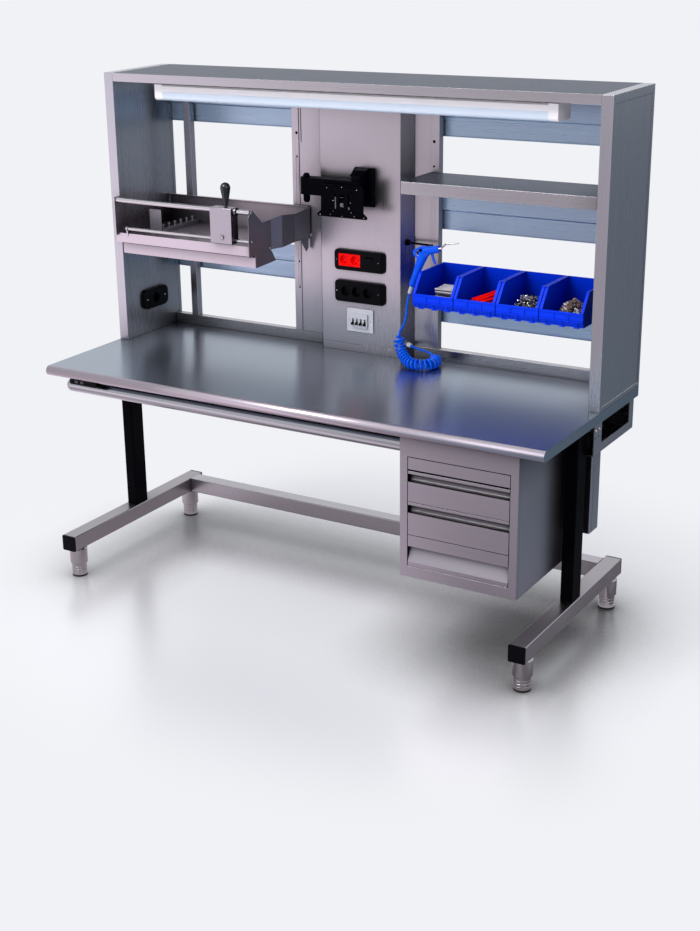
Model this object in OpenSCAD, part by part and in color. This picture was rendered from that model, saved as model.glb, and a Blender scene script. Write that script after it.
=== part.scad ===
// Packing table: a stainless steel bench on two lifting columns. It carries a
// superstructure with a service column, a drawer cabinet, a film cutter, a
// monitor arm, storage bins and an air gun on a coiled hose.
// Millimetres, +Z up, +Y to the back, origin on the floor under the middle.

/* [Worktop] */
// Length of the worktop
top_w = 2000; // [1800:10:2300]
// Depth of the worktop, its round front edge included
top_d = 800; // [760:10:900]
// Thickness of the worktop
top_t = 36; // [30:1:44]
// Height of the worktop's upper face with the columns down
bench_h = 840; // [800:5:950]
// Sheet thickness of the worktop's steel skin
skin_t = 1.5; // [1:0.5:3]
// Distance of the worktop's front edge behind the front ends of the feet
top_setback = 20; // [0:5:60]

/* [Base frame] */
// Side of the square foot beams and the cross beam
beam = 60; // [50:5:80]
// Wall of the square beams
beam_wall = 3; // [2:0.5:5]
// Length of a foot beam with its end caps
beam_l = 834; // [780:2:900]
// Distance of a foot beam's middle from the worktop's end
beam_inset = 63; // [50:1:90]
// Distance of a levelling foot from the beam's end
foot_inset = 53; // [40:1:90]
// Height of the levelling feet under the beams
foot_h = 117; // [105:1:140]
// Thickness of the plastic caps on the beams' ends
cap_t = 6; // [3:1:12]

/* [Lifting columns] */
// Width of the outer column profile
col_w = 45; // [40:1:60]
// Depth of the outer column profile
col_d = 73; // [60:1:90]
// Wall of the column profiles
col_wall = 3; // [2:0.5:5]
// Distance of the column's middle behind the middle of the foot beam
col_y = 15.5; // [0:0.5:40]
// Length of the inner profile that shows with the columns down
col_show = 25; // [10:1:60]
// Gap between the inner and the outer profile
col_gap = 0.3; // [0.2:0.1:0.5]

/* [Superstructure] */
// Height of the superstructure over the worktop
frame_h = 1021; // [950:1:1150]
// Distance of the superstructure's front behind the worktop's front edge
frame_setback = 443; // [420:1:460]
// Thickness of the side cheeks
cheek_t = 40; // [30:1:60]
// Height of the canopy's front fascia
fascia_h = 31; // [25:1:60]
// Sheet thickness of the superstructure
sheet = 2; // [1.5:0.5:3]
// Width of an upright
post_w = 30; // [25:1:40]
// Depth of an upright
post_d = 30; // [25:1:35]
// Distance of the outer uprights from the worktop's ends
outer_post_inset = 121; // [90:1:160]
// Height of the sill rails on the worktop
sill_h = 40; // [30:1:60]
// Height of a hanging rail
rail_h = 134; // [110:1:160]
// Depth of a hanging rail behind the uprights
rail_d = 10; // [8:1:14]

/* [Service column] */
// Middle of the service column, left of the worktop's middle
tower_x = -60; // [-90:1:-30]
// Width of the service column's front
tower_w = 334; // [320:1:360]
// Width that each splayed side adds
tower_splay = 32; // [15:1:35]
// Distance that the service column stands in front of the uprights
tower_proud = 47; // [30:1:60]
// Distance from the tower's middle to the left perforated upright
inner_post_left = 305; // [290:1:330]
// Distance from the tower's middle to the right perforated upright
inner_post_right = 283; // [270:1:290]

/* [Luminaire] */
// Length of the luminaire
lamp_w = 1600; // [1300:10:1640]
// Depth of the luminaire
lamp_d = 100; // [70:1:120]
// Height of the luminaire
lamp_h = 58; // [45:1:80]
// Height of its translucent lower half
diffuser_h = 33; // [25:1:40]
// Gap between the canopy's fascia and the luminaire, front to back
lamp_setback = 43; // [20:1:60]

/* [Drawer cabinet] */
// Width of the drawer cabinet
cab_w = 425; // [400:5:460]
// Depth of the drawer cabinet
cab_d = 540; // [500:5:600]
// Height of the drawer cabinet
cab_h = 498; // [490:1:520]
// Distance of the cabinet from the worktop's right end
cab_inset = 97; // [95:1:130]
// Distance of the cabinet's front behind the worktop's front edge
cab_setback = 38; // [25:1:60]
// Width of the cabinet's front stiles
stile_w = 28; // [20:1:34]
// Sheet thickness of the cabinet and the drawers
cab_sheet = 1.5; // [1:0.5:2]

/* [Shelf and bins] */
// Height of the shelf over the worktop
shelf_z = 688; // [650:1:720]
// Depth of the shelf
shelf_d = 222; // [180:1:260]
// Height of the shelf's folded front
shelf_edge = 43; // [30:1:50]
// Width of a storage bin
bin_w = 157; // [140:1:157]
// Distance from bin to bin
bin_pitch = 160; // [158:1:162]
// Length of a storage bin
bin_l = 232; // [210:1:250]
// Height of a storage bin
bin_h = 121; // [100:1:140]
// Wall of a storage bin
bin_wall = 3; // [2:0.5:4]

/* [Film cutter] */
// Radius of the upper guide rod
rod_r = 9.5; // [8:0.5:11]
// Radius of the lower guide rod
low_rod_r = 6.5; // [5:0.5:8]
// Height of the upper guide rod over the worktop
rod_z = 554; // [545:1:560]
// Distance between the two guide rods
rod_gap = 106; // [104:1:108]
// Height of the cutter's tray floor over the worktop
tray_z = 422; // [420:1:424]
// Width of the cutting carriage
carriage_w = 93; // [80:1:110]
// Depth of the cutting carriage
carriage_d = 43; // [38:1:44]
// Running clearance of the rods in the carriage
rod_clear = 0.08; // [0.03:0.01:0.1]

/* [Monitor arm] */
// Height of the arm's upper link over the worktop, at its middle
arm_z = 639.5; // [620:0.5:650]
// Height of an arm link
link_h = 32; // [28:1:34]
// Half the width of the links at their elbow
link_r = 22; // [18:1:23]
// Distance from the wall pivot to the elbow
link_l = 217; // [200:1:225]
// Width of the monitor plate
vesa_w = 178; // [130:1:180]
// Height of the monitor plate
vesa_h = 118; // [112:1:120]

/* [Air hose] */
// Outer diameter of the air hose
hose_d = 8; // [7:0.5:8]
// Radius from the middle of the coil to the middle of the hose
coil_r = 17; // [16:1:18]
// Number of curls in the coil
curls = 20; // [12:1:20]

/* [Hidden] */
$fn = 48;

// Gap between pieces that lie beside each other
gap = 0.3;
// Overshoot of a cutting shape past the face that it cuts
over = 1;

steel = [0.72, 0.70, 0.71];
dark_steel = [0.50, 0.52, 0.55];
rail_blue = [0.70, 0.77, 0.84];
black = [0.07, 0.07, 0.08];
white = [0.93, 0.93, 0.92];
bin_blue = [0.02, 0.13, 0.80];
hose_blue = [0.05, 0.36, 0.88];
red = [0.90, 0.06, 0.05];

// Frame of the whole table
half_w = top_w / 2;
top_front = top_setback - beam_l / 2;
top_back = top_front + top_d;
top_under = bench_h - top_t;
beam_x = half_w - beam_inset;
beam_z = foot_h + beam;
foot_y = beam_l / 2 - foot_inset;

// Frame of the superstructure
frame_front = top_front + frame_setback;
canopy_top = bench_h + frame_h;
canopy_under = canopy_top - sheet;
bay_x = half_w - cheek_t;
rail_front = top_back - rail_d;
post_front = rail_front - post_d;
sill_top = bench_h + sill_h;
tower_front = post_front - tower_proud;
tower_back = top_back - sheet - gap;
tower_left = tower_x - tower_w / 2;
tower_right = tower_x + tower_w / 2;
inner_left = tower_x - inner_post_left;
inner_right = tower_x + inner_post_right;
outer_post = half_w - outer_post_inset - post_w / 2;

// Shapes shared by many pieces

module block(low, high) {
    translate(low) cube(high - low);
}

module along_x(x0, x1) {
    translate([x0, 0, 0]) rotate([90, 0, 90]) linear_extrude(x1 - x0) children();
}

module along_y(y0, y1) {
    translate([0, y1, 0]) rotate([90, 0, 0]) linear_extrude(y1 - y0) children();
}

module along_z(z0, z1) {
    translate([0, 0, z0]) linear_extrude(z1 - z0) children();
}

module both_sides() {
    children();
    mirror([1, 0, 0]) children();
}

// Rectangle from one corner to the other, with round corners
module round_rect(low, high, r) {
    translate([low[0] + r, low[1]]) square([high[0] - low[0] - 2 * r, high[1] - low[1]]);
    translate([low[0], low[1] + r]) square([high[0] - low[0], high[1] - low[1] - 2 * r]);
    for (x = [low[0] + r, high[0] - r], y = [low[1] + r, high[1] - r])
        translate([x, y]) circle(r);
}

module rod_x(x0, x1, r) {
    translate([x0, 0, 0]) rotate([0, 90, 0]) cylinder(r = r, h = x1 - x0);
}

module rod_y(y0, y1, r) {
    translate([0, y0, 0]) rotate([-90, 0, 0]) cylinder(r = r, h = y1 - y0);
}

// Outline of a folded sheet: the points run along its outer face, and the
// metal lies t to the left of them, or to the right where t is negative
function unit(v) = v / norm(v);
function left_of(v) = [-v[1], v[0]];
function last(p) = len(p) - 1;
function side_in(p, i) = left_of(unit(i > 0 ? p[i] - p[i - 1] : p[1] - p[0]));
function side_out(p, i) =
    left_of(unit(i < last(p) ? p[i + 1] - p[i] : p[i] - p[i - 1]));
function mitre(p, i) =
    (side_in(p, i) + side_out(p, i)) / (1 + side_in(p, i) * side_out(p, i));
function folded(p, t) = concat(
    p, [for (i = [last(p):-1:0]) p[i] + mitre(p, i) * t]);

module folded_sheet(p, t) {
    polygon(folded(p, t));
}

// Points of an arc round a centre, both ends included
function arc(c, r, a0, a1, steps) = [
    for (i = [0:steps]) let (a = a0 + (a1 - a0) * i / steps)
        c + r * [cos(a), sin(a)]];

// Base frame

module beam_section(grow) {
    difference() {
        round_rect([-beam / 2, -beam / 2], [beam / 2, beam / 2], 4);
        square(beam - 2 * beam_wall + 2 * grow, center = true);
    }
}

module foot_beams() {
    color(dark_steel) both_sides() translate([beam_x, 0, foot_h + beam / 2])
        along_y(-beam_l / 2 + cap_t, beam_l / 2 - cap_t) beam_section(0);
}

module rear_cross_beam() {
    reach = beam_x - beam / 2;
    color(steel) translate([0, foot_y, foot_h + beam / 2])
        along_x(-reach, reach) beam_section(0);
}

plug_l = 22;

module end_cap() {
    plug = beam - 2 * beam_wall - 2 * gap;
    along_y(-beam_l / 2, -beam_l / 2 + cap_t)
        round_rect([-beam / 2, -beam / 2], [beam / 2, beam / 2], 4);
    along_y(-beam_l / 2 + cap_t, -beam_l / 2 + cap_t + plug_l)
        square(plug, center = true);
}

module beam_end_caps() {
    color(black) both_sides() translate([beam_x, 0, foot_h + beam / 2]) {
        end_cap();
        mirror([0, 1, 0]) end_cap();
    }
}

// Levelling feet: a sleeve under the beam, and a ringed foot that screws in it
sleeve_r = 34.5;
sleeve_low = 52;
ring_r = 29.5;
ring_groove = 1.2;
stem_r = 10;
pad_h = 8;

module at_feet() {
    both_sides() for (y = [-foot_y, foot_y]) translate([beam_x, y, 0]) children();
}

module foot_sleeve() {
    rotate_extrude() polygon([
        [stem_r + gap, sleeve_low], [sleeve_r - 3, sleeve_low], [sleeve_r, sleeve_low + 3],
        [sleeve_r, foot_h - 5], [sleeve_r - 5, foot_h], [stem_r + gap, foot_h]]);
}

module foot_screw() {
    ring_top = sleeve_low - gap;
    rotate_extrude() difference() {
        union() {
            translate([0, pad_h]) square([ring_r, ring_top - pad_h]);
            translate([0, pad_h]) square([stem_r, foot_h - pad_h - 4]);
        }
        for (i = [1, 2, 3])
            translate([ring_r, pad_h + i * (ring_top - pad_h) / 4])
                circle(i == 2 ? 2 * ring_groove : ring_groove);
    }
}

module levelling_feet() {
    color(steel) at_feet() {
        foot_sleeve();
        foot_screw();
    }
}

module foot_pads() {
    color(black) at_feet() rotate_extrude()
        polygon([[0, 0], [ring_r - 1, 0], [ring_r, 1], [ring_r, pad_h], [0, pad_h]]);
}

// Lifting columns: the outer profile stands on the foot beam, and the inner
// profile slides in it and carries the worktop on its head plate
head_plate = 8;
head_w = 66;
head_d = 77;
inner_foot = 55;

module column_section(shrink, wall) {
    w = col_w / 2 - shrink;
    d = col_d / 2 - shrink;
    difference() {
        round_rect([-w, -d], [w, d], 4);
        square([2 * (w - wall), 2 * (d - wall)], center = true);
    }
}

module column_outers() {
    color(black) both_sides() translate([beam_x, col_y, 0]) {
        along_z(beam_z, top_under - head_plate - col_show)
            column_section(0, col_wall);
        along_z(beam_z, beam_z + head_plate)
            square([col_w - col_wall, col_d - col_wall], center = true);
    }
}

module column_inners() {
    color(black) both_sides() translate([beam_x, col_y, 0]) {
        along_z(beam_z + inner_foot, top_under - head_plate)
            column_section(col_wall + col_gap, col_wall);
        difference() {
            along_z(top_under - head_plate, top_under)
                round_rect([-head_w / 2, -head_d / 2], [head_w / 2, head_d / 2], 6);
            for (x = [-1, 1], y = [-1, 1])
                translate([x * (head_w / 2 - 6), y * (head_d / 2 - 11), 0])
                    along_z(top_under - head_plate - over, top_under + over) circle(3.5);
        }
    }
}

// Worktop: a steel skin round a board core, with a half-round front edge

module top_section(inset) {
    r = top_t / 2;
    translate([top_front + r, top_under + r]) circle(r - inset);
    translate([top_front + r, top_under + inset])
        square([top_d - r - inset, top_t - 2 * inset]);
}

module worktop() {
    color(steel) difference() {
        along_x(-half_w, half_w) top_section(0);
        along_x(-half_w + skin_t, half_w - skin_t) top_section(skin_t);
    }
}

module worktop_core() {
    fit = skin_t + 0.2;
    color([0.66, 0.52, 0.36]) along_x(-half_w + fit, half_w - fit) top_section(fit);
}

// Side brackets under the worktop's rear half, with a window for cables
bracket_t = 3;
bracket_x = half_w - 18;
bracket_drop = 121;
bracket_front = col_y + col_d / 2 + 3;
bracket_back = top_back + 8;
bracket_lip = 25;
window_front = bracket_front + 66;
window_back = bracket_back - 40;
window_low = top_under - 90;
window_high = top_under - 17;

module side_brackets() {
    low = top_under - bracket_drop;
    // A wall with an inward lip along its top and its bottom
    color(steel) both_sides() difference() {
        along_y(bracket_front, bracket_back) folded_sheet([
            [bracket_x - bracket_lip, low], [bracket_x, low],
            [bracket_x, top_under], [bracket_x - bracket_lip, top_under]
        ], bracket_t);
        along_x(bracket_x - bracket_t - over, bracket_x + over)
            round_rect([window_front, window_low], [window_back, window_high], 3);
        for (y = [bracket_front + 12, bracket_front + 40], z = [top_under - 30, top_under - 60])
            translate([0, y, z]) rod_x(bracket_x - bracket_t - over, bracket_x + over, 3.5);
    }
}

// Cable tray between the side brackets, resting on their lower lips
tray_t = 2;
tray_reach = bracket_x - bracket_t - gap;
cable_z = top_under - bracket_drop + bracket_t;
cable_front = window_front - 2;
cable_back = bracket_back - 6;

module cable_tray() {
    color(steel) along_x(-tray_reach, tray_reach) folded_sheet([
        [cable_front + 12, cable_z + 60], [cable_front, cable_z + 60], [cable_front, cable_z],
        [cable_back, cable_z], [cable_back, top_under - bracket_t - gap]
    ], tray_t);
}

// Round rail under the front edge, from its domed end to the cabinet's side
tube_r = 25;
tube_wall = 2;
tube_y = top_front + 75;
tube_z = top_under - 45;
tube_end = half_w - 40;
cab_right = half_w - cab_inset;
cab_left = cab_right - cab_w;

module front_tube() {
    color(steel) translate([0, tube_y, tube_z]) difference() {
        union() {
            rod_x(-tube_end + tube_r, cab_left, tube_r);
            translate([-tube_end + tube_r, 0, 0]) sphere(tube_r);
        }
        rod_x(-tube_end + tube_r, cab_left + over, tube_r - tube_wall);
    }
}

// Hand control of the lifting columns, with two sprung buttons
ctl_x = -half_w + 95;
ctl_w = 123;
ctl_d = 34;
ctl_h = 23;
ctl_y = top_front + top_t / 2 + 3;
button_w = 15;
button_h = 10;
button_out = 2;
button_in = 5;

module button_place(i) {
    translate([ctl_x + 32 + i * 26, ctl_y, top_under - ctl_h / 2]) children();
}

module hand_control() {
    color(black) difference() {
        along_y(ctl_y, ctl_y + ctl_d)
            round_rect([ctl_x, top_under - ctl_h], [ctl_x + ctl_w, top_under], 4);
        for (i = [0, 1]) button_place(i)
            block([-button_w / 2 - gap, -over, -button_h / 2 - gap],
                [button_w / 2 + gap, button_in + 2, button_h / 2 + gap]);
    }
}

module lift_button(i) {
    color(dark_steel) button_place(i) along_y(-button_out, button_in - gap)
        round_rect([-button_w / 2, -button_h / 2], [button_w / 2, button_h / 2], 2);
}

module up_button() {
    lift_button(0);
}

module down_button() {
    lift_button(1);
}

// Folded strip that holds the rail from the hand control to the cabinet
strip_t = 2;
strip_left = ctl_x + ctl_w + 8;

module tube_brackets() {
    y = tube_y + tube_r + gap;
    color(dark_steel) difference() {
        along_x(strip_left, cab_left - gap) folded_sheet([
            [y, tube_z - 14], [y, top_under], [y + 26, top_under]], -strip_t);
        for (x = [strip_left + 40 : (cab_left - strip_left - 80) / 5 : cab_left - 30])
            translate([x, y + 16, 0]) along_z(top_under - strip_t - over, top_under + over)
                circle(2.5);
    }
}

// Cable channel that drops from the tray behind the right column
duct_w = 42;
duct_d = 77;
duct_drop = 306;

module service_box() {
    x0 = bracket_x - bracket_lip - gap - duct_w;
    y0 = col_y + col_d / 2 + 60;
    color(steel) difference() {
        along_z(cable_z - duct_drop, cable_z) round_rect(
            [x0, y0], [x0 + duct_w, y0 + duct_d], 3);
        along_z(cable_z - duct_drop - over, cable_z - tray_t)
            square_from([x0 + 2, y0 + 2], [x0 + duct_w - 2, y0 + duct_d - 2]);
        // Shadow line of the cover
        block([x0 + duct_w - 1, y0 + 20, cable_z - duct_drop - over],
            [x0 + duct_w + over, y0 + 22, cable_z - 60]);
    }
}

module square_from(low, high) {
    translate(low) square(high - low);
}

// Drawer cabinet

cab_front = top_front + cab_setback;
cab_back = cab_front + cab_d;
cab_bottom = top_under - cab_h;
stile_d = 15;
front_gap = 2;
front_left = cab_left + stile_w + front_gap;
front_right = cab_right - stile_w - front_gap;
front_t = 24;
// Lower and upper edge of each drawer front, under the worktop
slot_1 = [115, 74];
slot_2 = [228, 121];
slot_3 = [345, 230];
slot_4 = [458, 347];
fascia_drop = 72;
plinth_h = 39;
box_inset = 10;
runner_h = 8;
// Height of a drawer's runner over the lower edge of its front
runner_up = 24;

module runner_ledge(slot, up) {
    z = top_under - slot[0] + up;
    for (side = [0, 1])
        translate([side * (cab_left + cab_right), 0, 0]) mirror([side, 0, 0])
            block([cab_left + cab_sheet / 2, cab_front + stile_d + 20, z - gap - 2],
                [front_left + box_inset - gap, min(cab_back - 40, cable_front - 6), z - gap]);
}

// Side view of the cabinet: its back steps round the cable tray
module cabinet_side(inset, front) {
    step_y = min(cab_back, cable_front - 3) - inset;
    step_z = cable_z - 5 - inset;
    polygon([
        [front, cab_bottom + inset], [cab_back - inset, cab_bottom + inset],
        [cab_back - inset, step_z], [step_y, step_z],
        [step_y, top_under - inset], [front, top_under - inset]]);
}

// Front frame, two sides with ledges, and one folded sheet for the floor, back and top
module cabinet_shell() {
    s = cab_sheet;
    body_front = cab_front + stile_d + gap;
    color(steel) {
        difference() {
            block([cab_left, cab_front, cab_bottom], [cab_right, cab_front + stile_d, top_under]);
            block([cab_left + stile_w, cab_front - over, cab_bottom + plinth_h],
                [cab_right - stile_w, cab_front + stile_d + over, top_under - fascia_drop]);
        }
        for (x = [cab_left, cab_right - s]) along_x(x, x + s) cabinet_side(0, body_front);
        runner_ledge(slot_1, 12);
        for (slot = [slot_2, slot_3, slot_4]) runner_ledge(slot, runner_up);
        along_x(cab_left + s + gap, cab_right - s - gap) difference() {
            cabinet_side(0, body_front);
            cabinet_side(s, cab_front);
        }
    }
}

// Drawer box of folded sheet, screwed to the back of its front, with a runner on each side
drawer_l = cab_d - 70;

module drawer_box(slot, h, up) {
    z0 = top_under - slot[0];
    x0 = front_left + box_inset;
    x1 = front_right - box_inset;
    y0 = cab_front + front_t + gap;
    y1 = cab_front + drawer_l;
    s = cab_sheet;
    difference() {
        block([x0, y0, z0], [x1, y1, z0 + h]);
        block([x0 + s, y0 + s, z0 + s], [x1 - s, y1 - s, z0 + h + over]);
    }
    for (x = [[front_left + 1, x0 + s / 2], [x1 - s / 2, front_right - 1]])
        block([x[0], y0 + 20, z0 + up], [x[1], y1, z0 + up + runner_h]);
}

// Front of the shallow pull-out: a plain strip, open under it for the fingers
module drawer_1() {
    low = top_under - slot_1[0];
    high = top_under - slot_1[1];
    color(steel) {
        along_x(front_left, front_right) folded_sheet([
            [cab_front + front_t, low], [cab_front, low],
            [cab_front, high], [cab_front + front_t, high]
        ], -cab_sheet);
        drawer_box(slot_1, 22, 12);
    }
}

// Front with a lip, a hollow grip along it and a flat face under the grip
grip_lip = 10;
grip_h = 28;
grip_extra = 0.8;

module gripped_front(slot) {
    low = top_under - slot[0];
    high = top_under - slot[1];
    r = grip_h / 2 + grip_extra;
    centre = [cab_front + sqrt(r * r - grip_h * grip_h / 4), high - grip_lip - grip_h / 2];
    swing = asin(grip_h / 2 / r);
    color(steel) along_x(front_left, front_right) folded_sheet(concat(
        [[cab_front + front_t, low], [cab_front, low]],
        arc(centre, r, -180 + swing, 180 - swing, 10),
        [[cab_front, high], [cab_front + front_t, high]]
    ), -cab_sheet);
}

module drawer_2() {
    gripped_front(slot_2);
    color(steel) drawer_box(slot_2, 70, runner_up);
}

module drawer_3() {
    gripped_front(slot_3);
    color(steel) drawer_box(slot_3, 74, runner_up);
}

// Bottom drawer: a strip, a tall grip with a leaning back, and a lip under it
strip_h = 40;
low_lip = 15;
lean = 19;

module drawer_4() {
    low = top_under - slot_4[0];
    high = top_under - slot_4[1];
    color(steel) {
        along_x(front_left, front_right) folded_sheet([
            [cab_front + front_t, low], [cab_front, low],
            [cab_front, low + low_lip], [cab_front + lean, high - strip_h],
            [cab_front, high - strip_h], [cab_front, high], [cab_front + front_t, high]
        ], -cab_sheet);
        drawer_box(slot_4, 70, runner_up);
    }
}

// Side cheeks: closed panels with a shallow recess on both faces
recess = 1.5;
cheek_rim = 16;
cheek_inner_rim = 28;
socket_y = 224.5;
socket_z = 135;

module cheek() {
    x0 = half_w - cheek_t;
    difference() {
        block([x0, frame_front, bench_h], [half_w, top_back, canopy_top]);
        block([x0 + recess + sheet, frame_front + sheet, bench_h + sheet],
            [half_w - recess - sheet, top_back - sheet, canopy_top - sheet]);
        block([half_w - recess, frame_front + cheek_rim, bench_h + cheek_rim],
            [half_w + over, top_back - cheek_rim, canopy_top - cheek_rim - 12]);
        block([x0 - over, frame_front + cheek_inner_rim, bench_h - over],
            [x0 + recess, top_back - cheek_rim, canopy_top - fascia_h]);
    }
}

module cheek_right() {
    color(steel) cheek();
}

module cheek_left() {
    color(steel) difference() {
        mirror([1, 0, 0]) cheek();
        translate([0, socket_y, bench_h + socket_z])
            rod_x(-bay_x - recess - sheet - over, -bay_x + over, 33);
    }
}

// Canopy: an upturned tray of sheet between the cheeks

module canopy() {
    low = canopy_top - fascia_h;
    color(steel) along_x(-bay_x, bay_x) folded_sheet([
        [frame_front + 20, low], [frame_front, low], [frame_front, canopy_top],
        [top_back, canopy_top], [top_back, canopy_top - 16]
    ], -sheet);
}

// Luminaire: a channel with two hangers, a translucent trough and end caps
lamp_top = canopy_top - 39;
lamp_y = frame_front + lamp_setback;
lamp_low = lamp_top - lamp_h;
lamp_split = lamp_low + diffuser_h;
lamp_cap = 34;
lamp_round = 14;
hang_x = lamp_w / 2 - 280;

module lamp_section(inset) {
    difference() {
        round_rect([lamp_y + inset, lamp_low + inset],
            [lamp_y + lamp_d - inset, lamp_top + lamp_round - inset], lamp_round - inset);
        translate([lamp_y - over, lamp_top - inset]) square([lamp_d + 2 * over, lamp_h]);
    }
}

module lamp_housing() {
    reach = lamp_w / 2 - lamp_cap;
    color(white) {
        along_x(-reach, reach) folded_sheet([
            [lamp_y, lamp_split], [lamp_y, lamp_top - 6], [lamp_y + 6, lamp_top],
            [lamp_y + lamp_d - 6, lamp_top], [lamp_y + lamp_d, lamp_top - 6],
            [lamp_y + lamp_d, lamp_split]
        ], -1.5);
        for (x = [-hang_x, hang_x]) along_x(x - 15, x + 15) folded_sheet([
            [lamp_y + 30, lamp_top], [lamp_y + 50, lamp_top],
            [lamp_y + 50, canopy_under - 3], [lamp_y + 70, canopy_under - 3]
        ], 3);
    }
}

module lamp_diffuser() {
    reach = lamp_w / 2 - lamp_cap;
    color(white) difference() {
        along_x(-reach, reach) lamp_section(0);
        along_x(-reach - over, reach + over) lamp_section(2);
        block([-half_w, lamp_y - over, lamp_split], [half_w, lamp_y + lamp_d + over, canopy_top]);
    }
}

module lamp_end_caps() {
    reach = lamp_w / 2;
    color(white) both_sides() along_x(reach - lamp_cap, reach) lamp_section(0);
}

// Uprights: four tubes on the sill rails, the inner two with holes
hole_r = 3.5;
key_hole_r = 5;
hole_heights = [1548, 1150, 1049];

module upright(x) {
    difference() {
        along_z(sill_top, canopy_under) square_from(
            [x - post_w / 2, post_front], [x + post_w / 2, rail_front]);
        along_z(sill_top + sheet, canopy_under - sheet) square_from(
            [x - post_w / 2 + sheet, post_front + sheet],
            [x + post_w / 2 - sheet, rail_front - sheet]);
    }
}

module perforated_upright(x, side) {
    hx = x + side * 6;
    difference() {
        upright(x);
        for (z = hole_heights) translate([hx, 0, bench_h + z - 840])
            rod_y(post_front - over, post_front + sheet + over, hole_r);
        translate([hx, 0, canopy_top - 226])
            rod_y(post_front - over, post_front + sheet + over, key_hole_r);
    }
}

module uprights() {
    color(steel) {
        both_sides() upright(outer_post);
        perforated_upright(inner_left, 1);
        perforated_upright(inner_right, -1);
    }
}

module sill_box(x0, x1) {
    difference() {
        block([x0, post_front, bench_h], [x1, rail_front, sill_top]);
        block([x0 + sheet, post_front + sheet, bench_h + sheet],
            [x1 - sheet, rail_front - sheet, sill_top - sheet]);
    }
}

module sill_rails() {
    color(steel) {
        sill_box(-bay_x, tower_left - tower_splay - gap);
        sill_box(tower_right + tower_splay + gap, bay_x);
    }
}

// Hanging rails behind the uprights: an upper band that steps forward from a
// lower one. Heights are those of the lower edge over the worktop.
rail_band = 66;
low_rail = 137;
left_rails = [231, 808];
right_rails = [low_rail, 481, 811];

module hanging_rail(x0, x1, up) {
    z = bench_h + up;
    y0 = rail_front;
    y1 = top_back;
    along_x(x0, x1) folded_sheet([
        [y0 + 2, z], [y1, z], [y1, z + rail_band], [y0 + 1.5, z + rail_band + 6],
        [y0 + 1.5, z + rail_h]
    ], 1.5);
}

module hanging_rails() {
    color(rail_blue) {
        for (up = left_rails)
            hanging_rail(-bay_x, inner_left + post_w / 2, up);
        for (up = right_rails)
            hanging_rail(inner_right - post_w / 2, bay_x, up);
    }
}

module filler_panels() {
    y = post_front + 3;
    color(steel) {
        block([inner_left + post_w / 2, y, sill_top],
            [tower_left - tower_splay - gap, y + sheet, canopy_under]);
        block([tower_right + tower_splay + gap, y, sill_top],
            [inner_right - post_w / 2, y + sheet, canopy_under]);
    }
}

// Service column: a closed box with splayed sides, cut out for its sockets
unit_x = tower_x - 106;
unit_w = 213;
unit_r = 14;
unit_out = 10;
unit_box = 36;
upper_unit = [bench_h + 312, bench_h + 389];
lower_unit = [bench_h + 192, bench_h + 273];
unit_rim = 9;
seam_up = 28;
breaker_x = tower_x - 2;
breaker_z = bench_h + 125;

module tower_plan(t) {
    k = t * tan(atan2(tower_splay, tower_proud) / 2 );
    polygon([
        [tower_left - tower_splay + t, tower_back - t],
        [tower_left - tower_splay + t, post_front + k],
        [tower_left + t, tower_front + t],
        [tower_right - t, tower_front + t],
        [tower_right + tower_splay - t, post_front + k],
        [tower_right + tower_splay - t, tower_back - t]
    ]);
}

module unit_cut(zs, grow) {
    along_y(tower_front - over, tower_front + unit_box + grow) square_from(
        [unit_x + unit_rim - grow, zs[0] + unit_rim - grow],
        [unit_x + unit_w - unit_rim + grow, zs[1] - unit_rim + grow]);
}

module tower_shell() {
    color(steel) difference() {
        along_z(bench_h, canopy_under) tower_plan(0);
        along_z(bench_h + sheet, canopy_under - sheet) tower_plan(sheet);
        unit_cut(upper_unit, gap);
        unit_cut(lower_unit, gap);
        translate([breaker_x, 0, breaker_z])
            block([-36, tower_front - over, -28], [36, tower_front + sheet + over, 28]);
        // Seam of the removable front cover
        block([tower_left - tower_splay, tower_front - over, bench_h + seam_up],
            [tower_right + tower_splay, tower_front + 0.8, bench_h + seam_up + 1.5]);
    }
}

// Shelf: a tray of folded sheet across the right bay
shelf_left = tower_right + 98;
shelf_right = half_w - 78;

module shelf() {
    z = bench_h + shelf_z;
    y0 = post_front - shelf_d;
    color(steel) difference() {
        block([shelf_left, y0, z - shelf_edge], [shelf_right, post_front, z]);
        block([shelf_left + sheet, y0 + sheet, z - shelf_edge + sheet],
            [shelf_right - sheet, post_front - sheet, z - sheet]);
        block([shelf_left + 20, y0 + 20, z - shelf_edge - over],
            [shelf_right - 20, post_front - 20, z - shelf_edge / 2]);
    }
}

// Socket units: rounded black bezels with a body through the column's cut-out
socket_r = 19.5;
socket_deep = 15;
pin_r = 2.5;
pin_pitch = 19;
red_left = tower_x - 88;
red_w = 92;
red_h = 46;
red_deep = 24;
red_socket_r = 17;
rocker_w = 34;
rocker_h = 33;
rocker_x = tower_x + 39;
rocker_z = (upper_unit[0] + upper_unit[1]) / 2;
rocker_y = tower_front - 4;
rocker_deep = 13;
rocker_tilt = 8;
rocker_pin_r = 2.2;
rocker_pin_l = 2.5;
end_slope = 22;

module socket_well(r, deep, front) {
    rod_y(front - over, front + deep, r);
    for (x = [-pin_pitch / 2, pin_pitch / 2])
        translate([x, 0, 0]) rod_y(front, front + deep + 8, pin_r);
}

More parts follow.
